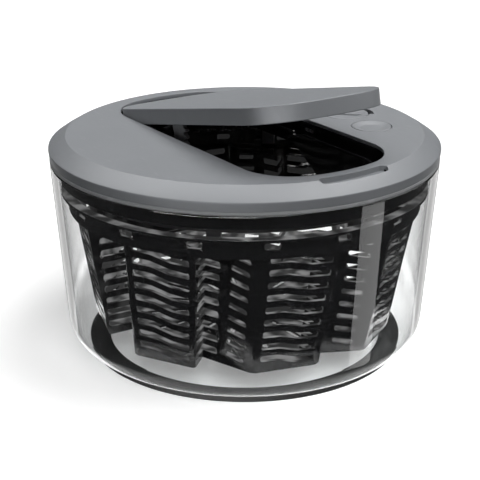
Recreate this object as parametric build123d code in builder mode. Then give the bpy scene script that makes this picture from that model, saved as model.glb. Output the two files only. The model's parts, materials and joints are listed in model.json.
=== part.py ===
from build123d import *
import os
from math import acos, atan2, cos, degrees, hypot, pi, radians, sin, sqrt, tan

os.makedirs("parts", exist_ok=True)

# Salad spinner pumped by a long lever in its lid.
# Origin at the middle of the foot, +Z up, +X towards the free end of the lever.
# All lengths are in millimetres and all angles in degrees.

# Clearances
running_gap = 0.06
moving_gap = 0.3
insert_gap = 0.05

# Overall sizes, which the other radii and levels follow
lid_radius = 131.0
bowl_rim_level = 132.0
lid_height = 15.6

# Bowl and its foot ring
lid_overhang = 0.5
bowl_draft = 3.8
bowl_wall = 3.0
bowl_floor = 3.5
bowl_corner = 20.0
foot_inset = 19.8
foot_width = 7.0
foot_height = 2.5
foot_drop = 1.0
pivot_radius = 6.0
pivot_drop = 3.5

# Basket
basket_sectors = 8
basket_phase = -3.5
ramp_angle = 20.3
basket_wall = 2.0
basket_rise = 13.5
basket_floor = 2.0
basket_taper = 14.0
basket_step = 24.0
basket_lean = 6.0
basket_shoulder = 2.5
basket_band_height = 12.0
basket_flange_reach = 4.5
basket_flange = 2.0
slot_rows = 9
slot_first_rise = 8.0
slot_last_drop = 6.6
slot_height = 4.2
slot_wave = 2.2
slot_bend = 0.35
slot_bend_lift = 0.8
slot_end_margin = 4.5
ramp_slot_length = 14.0
ramp_slot_height = 3.3
ramp_slot_slant = 2.6
ramp_slot_place = 0.62
step_slot_height = 4.4
step_slot_reach = 16.0
step_slot_wrap = 11.0
step_slot_swell = 3.2
band_slots = 16
band_slot_length = 10.0
band_slot_height = 4.0
band_slot_drop = 6.0
floor_slots = 16
floor_slot_length = 38.0
floor_slot_width = 4.0
floor_slot_radius = 52.0
hub_radius = 13.0
hub_height = 8.0
cup_wall = 3.0
lug_width = 5.0
lug_height = 7.0
lug_angle = 9.0

# Lid
lid_plate = 2.6
lid_crease_inset = 11.5
lid_ridge_inset = 4.8
lid_ridge_drop = 3.9
lid_rim_drop = 7.2
lid_rim_face = 1.0
lid_rim_taper = 0.6
lid_wall = 2.6
seal_height = 2.2
seal_width = 6.5
base_sink = 0.5
base_plate = 2.0
base_skirt = 2.3
base_skirt_height = 12.0
opening_half_width = 50.0
opening_inset = 22.0
opening_corner = 35.0
gutter_width = 9.5
gutter_wall = 2.0
collar_wall = 2.5
collar_height = 6.5
collar_corner = 22.0
hinge_deck = 34.0
front_slot_inset = 12.0
front_slot_width = 6.6
front_slot_angle = 10.8
front_slot_wall_angle = 1.5
front_slot_depth = 3.6

# Lever
hinge_inset = 13.0
hinge_drop = 6.6
hinge_pin_radius = 2.0
lever_lift = 12.5
lever_gap = 0.7
lever_back_gap = 2.9
lever_skirt = 2.2
lever_skirt_height = 10.7
frame_plate = 2.0
frame_clear = 4.0
knuckle_radius = 3.6
knuckle_width = 8.0
knuckle_offset = 20.0
stop_height = 2.7
stop_length = 4.0
stop_width = 9.0
stop_angle = 9.0

# Gear train
pressure_angle = 20.0
tooth_share = 0.44
tooth_above = 0.8
tooth_below = 1.15
fine_module = 1.5
pinion_teeth = 8
crown_teeth = 20
step_wheel_teeth = 24
ring_pinion_teeth = 12
ring_teeth = 72
mesh_drop = 7.7
sector_plate = 3.0
sector_first_tooth = -1
sector_last_tooth = 5
sector_depth = 12.0
sector_web = 4.0
sector_foot_length = 14.0
sector_foot_width = 12.0
sector_foot_shift = 2.0
gear_width = 3.2
gear_pin_radius = 2.0
crown_face_width = 3.6
crown_disc = 2.4
pinion_margin = 2.0
clutch_cup_radius = 9.5
clutch_track_radius = 7.6
clutch_roller_radius = 1.2
clutch_rollers_count = 3

# Drive ring and its retainer
ring_drop = 16.5
ring_height = 12.0
ring_clear = 3.0
ring_rest = 2.0
ring_body = 8.5
ring_flange_reach = 4.7
ring_flange_rise = 8.0
ring_flange = 2.5
dog_depth = 12.0
dog_width = 9.0
dog_radial = 4.0
dog_root = 1.0
retainer_height = 2.9

# Pods under the lid
pod_wall = 2.2
pod_clear = 1.0
gear_pod_before = 33.1
gear_pod_after = 34.9
gear_cover = 2.0
sump_depth = 3.6
latch_pod_rise = 3.0
latch_pod_inset = 18.6
latch_slope_x = 31.8
latch_slope_run = 42.8
latch_bevel = 6.0

# Stop button and brake
brake_angle = 61.3
brake_inset = 44.7
button_radius = 13.75
button_plate = 2.6
button_stem_radius = 5.0
button_edge = 0.8
button_dish = 1.1
dish_slope = 78.0
brake_travel = 3.0
arm_width = 12.0
arm_plate = 3.2
arm_rise = 1.5
arm_lip = 2.0
pad_width = 10.0
guide_wall = 2.0
guide_height = 4.5
brake_post_radius = 8.0
brake_post_drop = 5.5

# Leaf springs under the lever and under the brake arm
spring_width = 6.0
spring_strip = 0.6
spring_tip = 1.0
spring_foot = 2.0
spring_crown = 0.96
lever_leaf_start = 8.0
lever_leaf_bend = 20.0
lever_leaf_clear = 4.0

# Lock knob and bolt
knob_x = 4.5
knob_inset = 49.0
knob_radius = 16.5
knob_edge = 1.0
knob_dish = 1.3
knob_flange_radius = 18.2
knob_flange = 2.0
knob_ear_reach = 3.3
knob_ear_root = 0.5
knob_ear_angle = 16.0
ear_gap_angle = 0.5
ridge_length = 28.0
ridge_width = 2.4
ridge_angle = 45.0
lock_turn = 45.0
lock_pin_offset = 5.0
lock_pin_radius = 1.5
lock_ear_low_angle = 95.0
bolt_width = 10.0
bolt_body_width = 18.0
bolt_body_half = 8.0
bolt_plate = 2.5
bolt_drop = 2.5
bolt_tip_gap = 0.6
bolt_slot_shift = 0.2
bolt_slot_play = 1.2
latch_rail = 4.0
latch_plate = 1.8

# Radii that follow from the lid's
bowl_rim_radius = lid_radius - lid_overhang
bowl_base_radius = bowl_rim_radius - (bowl_rim_level - foot_drop) * tan(radians(bowl_draft))
foot_radius = bowl_base_radius - foot_inset
base_radius = bowl_rim_radius - seal_width
skirt_inner_radius = base_radius - base_skirt
lid_crease_radius = lid_radius - lid_crease_inset
lid_ridge_radius = lid_radius - lid_ridge_inset
front_slot_radius = lid_radius - front_slot_inset
opening_radius = lid_radius - opening_inset
collar_front_radius = opening_radius - gutter_width
collar_half_width = opening_half_width - gutter_width
basket_flange_radius = base_radius
basket_band_radius = basket_flange_radius - basket_flange_reach
band_inner_radius = basket_band_radius - basket_wall
basket_high_radius = basket_band_radius - basket_shoulder
basket_low_radius = basket_high_radius - basket_taper
ring_radius = basket_band_radius - ring_clear
ring_flange_radius = ring_radius + ring_flange_reach
ring_pitch_radius = ring_radius - ring_body
ring_module = 2 * ring_pitch_radius / ring_teeth
ring_pinion_radius = ring_pinion_teeth * ring_module / 2
pod_radius = ring_pitch_radius - tooth_above * ring_module - pod_clear
latch_pod_high_x = pod_radius - latch_pod_inset
brake_radius = lid_radius - brake_inset
knob_y = lid_radius - knob_inset
hinge_x = hinge_inset - opening_radius
deck_edge = hinge_x + hinge_deck

# Levels that follow from the bowl's rim
bowl_floor_level = foot_drop + bowl_floor
seal_top = bowl_rim_level + seal_height
lid_top_level = bowl_rim_level + lid_height
lid_under = lid_top_level - lid_plate
lid_ridge_level = lid_top_level - lid_ridge_drop
lid_rim_level = lid_top_level - lid_rim_drop
base_plate_level = bowl_rim_level - base_sink
base_top = base_plate_level + base_plate
collar_level = base_top + collar_height
hinge_level = lid_top_level - hinge_drop
ring_low_level = base_top - ring_drop
ring_top = ring_low_level + ring_height
ring_flange_level = ring_low_level + ring_flange_rise
ring_pinion_level = ring_low_level + pinion_margin
ring_pinion_width = ring_height - 2 * pinion_margin
basket_floor_level = bowl_floor_level + basket_rise
basket_band_level = ring_low_level - ring_rest
basket_roof_level = basket_band_level - basket_band_height
pivot_level = basket_floor_level - pivot_drop
slot_first_level = basket_floor_level + slot_first_rise
slot_pitch = (basket_roof_level - slot_last_drop - slot_first_level) / (slot_rows - 1)
gear_cover_level = basket_roof_level + 2 * moving_gap
gear_floor = gear_cover_level + gear_cover
latch_pod_bottom = basket_roof_level + latch_pod_rise
brake_post_level = base_plate_level - brake_post_drop
arm_level = base_top + arm_rise
bolt_level = hinge_level - bolt_drop
lever_top = lid_top_level - hinge_level
lever_under = lever_top - lid_plate
frame_under = lever_under - frame_plate

# Gear centres, from the sector on the lever to the pinion in the drive ring
fine_pinion_radius = pinion_teeth * fine_module / 2
crown_radius = crown_teeth * fine_module / 2
step_wheel_radius = step_wheel_teeth * fine_module / 2
sector_radius = -hinge_x
sector_pitch = degrees(pi * fine_module / sector_radius)
sector_back = sector_radius - sector_depth
sector_low_angle = sector_first_tooth * sector_pitch - mesh_drop - lever_lift
crown_x = hinge_x + (sector_radius + fine_pinion_radius) * cos(radians(mesh_drop))
crown_level = hinge_level - (sector_radius + fine_pinion_radius) * sin(radians(mesh_drop))
clutch_y = -sqrt((ring_pitch_radius - ring_pinion_radius) ** 2 - crown_x**2)
step_y = clutch_y + step_wheel_radius + fine_pinion_radius
crown_pitch_y = step_y + fine_pinion_radius
sector_y = -(collar_half_width + collar_wall + 2 * moving_gap)
step_wheel_level = gear_floor + 2 * moving_gap
clutch_cup_level = step_wheel_level + gear_width + 2 * moving_gap
clutch_cup_high = ring_pinion_level - 2 * moving_gap
roller_low = clutch_cup_level + pod_wall / 2 + moving_gap
gear_pod_middle = crown_x + (gear_pod_after - gear_pod_before) / 2
gear_pod_length = gear_pod_before + gear_pod_after

# Places and planes of the brake, the bolt and the lever
bolt_y = opening_half_width + moving_gap + bolt_tip_gap
brake_x = brake_radius * cos(radians(brake_angle))
brake_y = brake_radius * sin(radians(brake_angle))
arm_low = brake_radius - button_stem_radius - arm_lip
brake_plane = Plane((0, 0, 0), x_dir=(cos(radians(brake_angle)), sin(radians(brake_angle)), 0))
lever_plane = Plane(
    (hinge_x, 0, hinge_level),
    x_dir=(cos(radians(lever_lift)), 0, sin(radians(lever_lift))),
    z_dir=(-sin(radians(lever_lift)), 0, cos(radians(lever_lift))),
)
lever_side_plane = Plane((hinge_x, 0, hinge_level), x_dir=lever_plane.x_dir, z_dir=(0, -1, 0))


def polar(radius, angle):
    return (radius * cos(radians(angle)), radius * sin(radians(angle)))


def meet(point, along, other, other_along):
    """The point where two lines in a plane cross."""
    cross = along[0] * other_along[1] - along[1] * other_along[0]
    gap = (other[0] - point[0], other[1] - point[1])
    reach = (gap[0] * other_along[1] - gap[1] * other_along[0]) / cross
    return (point[0] + reach * along[0], point[1] + reach * along[1])


def towards(start, end):
    length = hypot(end[0] - start[0], end[1] - start[1])
    return ((end[0] - start[0]) / length, (end[1] - start[1]) / length)


def inset(points, distance):
    """A closed outline, anticlockwise, with each side moved inwards."""
    moved = []
    for index, corner in enumerate(points):
        before = towards(points[index - 1], corner)
        after = towards(corner, points[(index + 1) % len(points)])
        first = (corner[0] - before[1] * distance, corner[1] + before[0] * distance)
        second = (corner[0] - after[1] * distance, corner[1] + after[0] * distance)
        moved.append(meet(first, before, second, after))
    return moved


def between(start, end, share):
    return tuple(a + (b - a) * share for a, b in zip(start, end))


def involute(angle):
    return tan(angle) - angle


def gear_outline(teeth, module, phase, share=tooth_share, above=tooth_above, below=tooth_below):
    """Corners of a spur gear with straight flanks, one tooth centred on the phase angle."""
    pitch = teeth * module / 2
    base = pitch * cos(radians(pressure_angle))
    full = share * pi / teeth + involute(radians(pressure_angle))
    points = []
    for tooth in range(teeth):
        middle = radians(phase) + 2 * pi * tooth / teeth
        corners = ((-below, -1), (above, -1), (above, 1), (-below, 1))
        for height, side in corners:
            radius = pitch + height * module
            angle = middle + side * (full - involute(acos(min(1.0, base / radius))))
            points.append((radius * cos(angle), radius * sin(angle)))
    return points


def strip_shape(half_width, end_radius, corner):
    """A long strip across the lid with round ends on the lid's centre."""
    with BuildSketch() as shape:
        Circle(end_radius)
        Rectangle(4 * end_radius, 2 * half_width, mode=Mode.INTERSECT)
        fillet(shape.vertices(), corner)
    return shape.sketch


def well_shape(grow):
    """The opening that looks down into the basket, with its straight end at the hinge deck."""
    with BuildSketch() as shape:
        Circle(collar_front_radius + grow)
        length = collar_front_radius + grow - deck_edge + grow
        with Locations((deck_edge - grow + length / 2, 0)):
            Rectangle(length, 2 * (collar_half_width + grow), mode=Mode.INTERSECT)
        fillet(shape.vertices(), collar_corner + grow)
    return shape.sketch


def lever_shape(grow):
    """Outline of the lever measured from its hinge, grown or shrunk all round."""
    front = opening_radius - lever_gap
    back = opening_radius - lever_back_gap
    half_width = opening_half_width - lever_gap
    with BuildSketch() as shape:
        with Locations(((front - back) / 2 - hinge_x, 0)):
            add(strip_shape(half_width + grow, (front + back) / 2 + grow, opening_corner + grow))
    return shape.sketch


# Bowl: a drafted wall with a wide round corner, a pivot in the floor and a groove for the foot
with BuildPart() as bowl:
    with BuildSketch(Plane.XZ) as bowl_section:
        with BuildLine():
            Polyline(
                (0, foot_drop),
                (bowl_base_radius, foot_drop),
                (bowl_rim_radius, bowl_rim_level),
                (bowl_rim_radius - bowl_wall, bowl_rim_level),
                (bowl_base_radius - bowl_wall + bowl_floor * tan(radians(bowl_draft)), bowl_floor_level),
                (0, bowl_floor_level),
                close=True,
            )
        make_face()
        low_corners = bowl_section.vertices().filter_by(lambda v: v.X > foot_radius).sort_by(Axis.Y)[:2]
        fillet(low_corners.sort_by(Axis.X)[-1], bowl_corner)
        inner_corner = bowl_section.vertices().filter_by(
            lambda v: v.X > foot_radius and abs(v.Y - bowl_floor_level) < insert_gap
        )
        fillet(inner_corner, bowl_corner - bowl_wall)
    revolve(axis=Axis.Z)
    with BuildSketch(Plane.XY.offset(foot_drop + bowl_floor / 2)):
        Circle(pivot_radius)
    extrude(amount=pivot_level - foot_drop - bowl_floor / 2)
    with BuildSketch(Plane.XY.offset(foot_drop)):
        Circle(foot_radius)
        Circle(foot_radius - foot_width, mode=Mode.SUBTRACT)
    extrude(amount=foot_height - foot_drop, mode=Mode.SUBTRACT)
bowl.part.label = "bowl"
export_step(bowl.part, "parts/bowl.step")

with BuildPart() as foot_ring:
    with BuildSketch():
        Circle(foot_radius - insert_gap)
        Circle(foot_radius - foot_width + insert_gap, mode=Mode.SUBTRACT)
    extrude(amount=foot_height)
foot_ring.part.label = "foot_ring"
export_step(foot_ring.part, "parts/foot_ring.step")

# Basket: a pinwheel of flat panels, ramps and steps, leaning towards the bottom
sector_angle = 360 / basket_sectors
panel_half_angle = (sector_angle - ramp_angle) / 2
panel_middle = basket_phase + ramp_angle + panel_half_angle
panel_low_half = basket_low_radius * sin(radians(panel_half_angle))
panel_low_distance = basket_low_radius * cos(radians(panel_half_angle))
high_step = polar(basket_high_radius, basket_phase)
high_inner = polar(basket_high_radius - basket_step, basket_phase)
high_crease = polar(basket_high_radius, basket_phase + ramp_angle)
low_turn = degrees(atan2(panel_low_half - basket_lean, panel_low_distance))
low_crease_turn = degrees(atan2(-panel_low_half - basket_lean, panel_low_distance))
low_step = polar(
    hypot(panel_low_distance, panel_low_half - basket_lean), panel_middle + low_turn - sector_angle
)
low_crease = polar(hypot(panel_low_distance, panel_low_half + basket_lean), panel_middle + low_crease_turn)
low_inner = meet(low_step, towards(high_step, high_inner), low_crease, towards(high_crease, high_inner))


def turned(point, angle):
    return polar(hypot(*point), degrees(atan2(point[1], point[0])) + angle)


def around(step, inner, crease):
    """The outline of the wall at one level, from the three corners of one sector."""
    return [turned(p, k * sector_angle) for k in range(basket_sectors) for p in (step, inner, crease)]


low_outline = around(low_step, low_inner, low_crease)
high_outline = around(high_step, high_inner, high_crease)
wall_height = basket_roof_level - basket_floor_level
slope = (basket_high_radius - basket_low_radius) * cos(radians(panel_half_angle)) / wall_height
slope_length = sqrt(1 + slope**2)
slot_levels = [slot_first_level + slot_pitch * row for row in range(slot_rows)]
panel_tangent = (-sin(radians(panel_middle)), cos(radians(panel_middle)))
panel_normal = polar(1 / slope_length, panel_middle)
panel_distance = basket_high_radius * cos(radians(panel_half_angle))
panel_plane = Plane(
    (*polar(panel_distance, panel_middle), basket_roof_level),
    x_dir=(*panel_tangent, 0),
    z_dir=(*panel_normal, -slope / slope_length),
)
ramp_along = towards(high_inner, high_crease)
step_along = towards(high_inner, high_step)

# One sector's slots: waves in the panel, short slants in the ramp and wraps round the step
with BuildPart() as sector_slots:
    with BuildSketch(panel_plane):
        for level in slot_levels:
            share = (level - basket_floor_level) / wall_height
            half = (basket_low_radius + share * (basket_high_radius - basket_low_radius)) * sin(
                radians(panel_half_angle)
            ) - slot_end_margin
            middle = -basket_lean * (1 - share)
            rise = (level - basket_roof_level) * slope_length
            wave = ((-1, 1), (-slot_bend, slot_bend_lift), (slot_bend, -slot_bend_lift), (1, -1))
            crests = [(middle + half * along, rise + slot_wave * lift) for along, lift in wave]
            upper = [(x, y + slot_height / 2) for x, y in crests]
            lower = [(x, y - slot_height / 2) for x, y in reversed(crests)]
            with BuildLine():
                Polyline(*upper, *lower, close=True)
            make_face()
    extrude(amount=2 * basket_wall, both=True)
    for level in slot_levels:
        share = (level - basket_floor_level) / wall_height
        inner = between(low_inner, high_inner, share)
        crease = between(low_crease, high_crease, share)
        centre = between(inner, crease, ramp_slot_place)
        ramp_plane = Plane((*centre, level), x_dir=(*ramp_along, 0), z_dir=(ramp_along[1], -ramp_along[0], 0))
        half = ramp_slot_length / 2
        with BuildSketch(ramp_plane):
            with BuildLine():
                Polyline(
                    (-half, ramp_slot_slant / 2 + ramp_slot_height / 2),
                    (-half, ramp_slot_slant / 2 - ramp_slot_height / 2),
                    (half, -ramp_slot_slant / 2 - ramp_slot_height / 2),
                    (half, -ramp_slot_slant / 2 + ramp_slot_height / 2),
                    close=True,
                )
            make_face()
        extrude(amount=2 * basket_wall, both=True)
        reach = (inner[0] + step_slot_reach * step_along[0], inner[1] + step_slot_reach * step_along[1])
        wrap = (inner[0] + step_slot_wrap * ramp_along[0], inner[1] + step_slot_wrap * ramp_along[1])
        behind = meet(
            (inner[0] + step_slot_swell * step_along[1], inner[1] - step_slot_swell * step_along[0]),
            step_along,
            (inner[0] - step_slot_swell * ramp_along[1], inner[1] + step_slot_swell * ramp_along[0]),
            ramp_along,
        )
        before = meet(
            (inner[0] - step_slot_swell * step_along[1], inner[1] + step_slot_swell * step_along[0]),
            step_along,
            (inner[0] + step_slot_swell * ramp_along[1], inner[1] - step_slot_swell * ramp_along[0]),
            ramp_along,
        )
        with BuildSketch(Plane.XY.offset(level - step_slot_height / 2)):
            with BuildLine():
                Polyline(
                    (reach[0] + step_slot_swell * step_along[1], reach[1] - step_slot_swell * step_along[0]),
                    behind,
                    (wrap[0] - step_slot_swell * ramp_along[1], wrap[1] + step_slot_swell * ramp_along[0]),
                    (wrap[0] + step_slot_swell * ramp_along[1], wrap[1] - step_slot_swell * ramp_along[0]),
                    before,
                    (reach[0] - step_slot_swell * step_along[1], reach[1] + step_slot_swell * step_along[0]),
                    close=True,
                )
            make_face()
        extrude(amount=step_slot_height)

with BuildPart() as basket:
    with BuildSketch(Plane.XY.offset(basket_floor_level)):
        with BuildLine():
            Polyline(*low_outline, close=True)
        make_face()
    with BuildSketch(Plane.XY.offset(basket_roof_level)):
        with BuildLine():
            Polyline(*high_outline, close=True)
        make_face()
    loft(ruled=True)
    with BuildSketch(Plane.XY.offset(basket_roof_level - basket_wall)):
        Circle(basket_band_radius)
    extrude(amount=basket_wall)
    with BuildSketch(Plane.XY.offset(basket_floor_level + basket_floor)):
        with BuildLine():
            Polyline(*inset(low_outline, basket_wall), close=True)
        make_face()
    with BuildSketch(Plane.XY.offset(basket_roof_level)):
        with BuildLine():
            Polyline(*inset(high_outline, basket_wall), close=True)
        make_face()
    loft(ruled=True, mode=Mode.SUBTRACT)
    with BuildSketch(Plane.XY.offset(basket_roof_level - basket_wall)):
        Circle(basket_band_radius)
        Circle(band_inner_radius, mode=Mode.SUBTRACT)
    extrude(amount=basket_band_level - basket_roof_level + basket_wall)
    with BuildSketch(Plane.XY.offset(basket_band_level - basket_flange)):
        Circle(basket_flange_radius)
        Circle(band_inner_radius, mode=Mode.SUBTRACT)
    extrude(amount=basket_flange)
    with BuildSketch(Plane.XY.offset(basket_roof_level - basket_wall / 2)):
        with PolarLocations(band_inner_radius - dog_radial / 2, basket_sectors, basket_phase + lug_angle):
            Rectangle(dog_radial + basket_wall, lug_width)
    extrude(amount=lug_height)
    with BuildSketch(Plane.XY.offset(basket_floor_level + basket_floor / 2)):
        Circle(hub_radius)
    extrude(amount=-hub_height)
    with BuildSketch(Plane.XY.offset(basket_floor_level + basket_floor / 2 - hub_height)):
        Circle(pivot_radius + running_gap + cup_wall + insert_gap)
    extrude(amount=hub_height - basket_floor / 2, mode=Mode.SUBTRACT)
    with PolarLocations(0, basket_sectors):
        add(sector_slots.part, mode=Mode.SUBTRACT)
    with BuildSketch(Plane.XY.offset(basket_floor_level)):
        with PolarLocations(floor_slot_radius, floor_slots):
            Rectangle(floor_slot_length, floor_slot_width)
    extrude(amount=basket_floor, mode=Mode.SUBTRACT)
    with BuildSketch(Plane.XY.offset(basket_band_level - basket_flange - band_slot_drop)):
        with PolarLocations(band_inner_radius + basket_wall / 2, band_slots, basket_phase):
            Rectangle(2 * basket_wall, band_slot_length)
    extrude(amount=band_slot_height, mode=Mode.SUBTRACT)
basket.part.label = "basket"
export_step(basket.part, "parts/basket.step")

cup_low = basket_floor_level + basket_floor / 2 - hub_height
with BuildPart() as pivot_cup:
    with BuildSketch(Plane.XY.offset(cup_low)):
        Circle(pivot_radius + running_gap + cup_wall)
    extrude(amount=hub_height - basket_floor / 2)
    with BuildSketch(Plane.XY.offset(cup_low)):
        Circle(pivot_radius + running_gap)
    extrude(amount=pivot_level + moving_gap - cup_low, mode=Mode.SUBTRACT)
pivot_cup.part.label = "pivot_cup"
export_step(pivot_cup.part, "parts/pivot_cup.step")

# Lid cover: a thin shell with a broken edge, the lever's opening and the two round holes
with BuildPart() as lid_cover:
    with BuildSketch(Plane.XZ):
        with BuildLine():
            Polyline(
                (0, lid_top_level),
                (lid_crease_radius, lid_top_level),
                (lid_ridge_radius, lid_ridge_level),
                (lid_radius, lid_rim_level),
                (lid_radius, lid_rim_level - lid_rim_face),
                (lid_radius - lid_rim_taper, seal_top),
                (lid_radius - lid_rim_taper - lid_wall, seal_top),
                (lid_radius - lid_wall, lid_rim_level - lid_wall / 2),
                (lid_ridge_radius - lid_wall / 2, lid_ridge_level - lid_wall),
                (lid_crease_radius - lid_wall / 2, lid_under),
                (0, lid_under),
                close=True,
            )
        make_face()
    revolve(axis=Axis.Z)
    with BuildSketch(Plane.XY.offset(lid_under - lid_plate)):
        add(strip_shape(opening_half_width, opening_radius, opening_corner))
    extrude(amount=3 * lid_plate, mode=Mode.SUBTRACT)
    with BuildSketch(Plane.XY.offset(lid_top_level - front_slot_depth - lid_plate)):
        with BuildLine():
            slot_sweep = front_slot_angle + front_slot_wall_angle
            low_radius = front_slot_radius - front_slot_width / 2 - lid_plate / 2
            high_radius = front_slot_radius + front_slot_width / 2 + lid_plate / 2
            CenterArc((0, 0), low_radius, -slot_sweep, 2 * slot_sweep)
            CenterArc((0, 0), high_radius, -slot_sweep, 2 * slot_sweep)
            Line(polar(low_radius, slot_sweep), polar(high_radius, slot_sweep))
            Line(polar(low_radius, -slot_sweep), polar(high_radius, -slot_sweep))
        make_face()
    extrude(amount=front_slot_depth)
    with BuildSketch(Plane.XY.offset(lid_top_level - front_slot_depth)):
        with BuildLine():
            front_slot_path = CenterArc((0, 0), front_slot_radius, -front_slot_angle, 2 * front_slot_angle)
        SlotArc(front_slot_path, front_slot_width)
    extrude(amount=2 * front_slot_depth, mode=Mode.SUBTRACT)
    with BuildSketch(Plane.XY.offset(lid_under - guide_height)):
        with Locations((brake_x, brake_y)):
            Circle(button_radius + running_gap + guide_wall)
    extrude(amount=guide_height)
    with BuildSketch(Plane.XY.offset(lid_under - guide_height)):
        with Locations((brake_x, brake_y)):
            Circle(button_radius + running_gap)
    extrude(amount=guide_height + 2 * lid_plate, mode=Mode.SUBTRACT)
    with BuildSketch(Plane.XY.offset(lid_under)):
        with Locations((knob_x, knob_y)):
            Circle(knob_radius + running_gap)
        ear_low = lock_ear_low_angle - lock_turn - ear_gap_angle
        ear_sweep = lock_turn + knob_ear_angle + 2 * ear_gap_angle
        ear_middle = knob_radius + knob_ear_reach / 2
        with BuildLine():
            ear_path = CenterArc((knob_x, knob_y), ear_middle, ear_low, ear_sweep)
        trace_width = knob_ear_reach + 2 * moving_gap
        trace(ear_path, trace_width)
    extrude(amount=2 * lid_plate, mode=Mode.SUBTRACT)
lid_cover.part.label = "lid_cover"
export_step(lid_cover.part, "parts/lid_cover.step")

with BuildPart() as lid_seal:
    with BuildSketch(Plane.XY.offset(bowl_rim_level)):
        Circle(bowl_rim_radius)
        Circle(base_radius + insert_gap, mode=Mode.SUBTRACT)
    extrude(amount=seal_height)
lid_seal.part.label = "lid_seal"
export_step(lid_seal.part, "parts/lid_seal.step")

# Lid base: plate, skirt, gutter for the lever's edge, collar round the opening and two pods
gutter_gap = moving_gap + gutter_wall
gutter_corner = opening_corner + gutter_wall
gutter_outer = strip_shape(opening_half_width + gutter_gap, opening_radius + gutter_gap, gutter_corner)
gutter_inner = strip_shape(opening_half_width + moving_gap, opening_radius + moving_gap, opening_corner)
latch_pod_points = [
    (latch_slope_x, latch_pod_bottom),
    (latch_pod_high_x, latch_pod_bottom),
    (latch_pod_high_x, base_plate_level),
    (latch_slope_x - latch_slope_run, base_plate_level),
]
latch_void_points = [
    (latch_slope_x + pod_wall / 2, latch_pod_bottom + pod_wall),
    (latch_pod_high_x - pod_wall, latch_pod_bottom + pod_wall),
    (latch_pod_high_x - pod_wall, base_top),
    (latch_slope_x - latch_slope_run + pod_wall, base_top),
]
with BuildPart() as latch_pod:
    with BuildSketch(Plane.XZ.offset(-collar_half_width)):
        with BuildLine():
            Polyline(*latch_pod_points, close=True)
        make_face()
    extrude(amount=-pod_radius)
    slope_edge = latch_pod.edges().filter_by(
        lambda e: abs(e.center().Y - collar_half_width) < insert_gap
    ).sort_by(Axis.X)[0]
    chamfer(slope_edge, latch_bevel)
    with BuildSketch(Plane.XY.offset(latch_pod_bottom)):
        Circle(pod_radius)
    extrude(amount=base_plate_level - latch_pod_bottom, mode=Mode.INTERSECT)

with BuildPart() as latch_void:
    with BuildSketch(Plane.XZ.offset(-collar_half_width - collar_wall)):
        with BuildLine():
            Polyline(*latch_void_points, close=True)
        make_face()
    extrude(amount=-pod_radius)
    void_edge = latch_void.edges().filter_by(
        lambda e: abs(e.center().Y - collar_half_width - collar_wall) < insert_gap
    ).sort_by(Axis.X)[0]
    chamfer(void_edge, latch_bevel)
    with BuildSketch(Plane.XY.offset(latch_pod_bottom)):
        Circle(pod_radius - pod_wall)
    extrude(amount=base_top - latch_pod_bottom, mode=Mode.INTERSECT)

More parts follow.
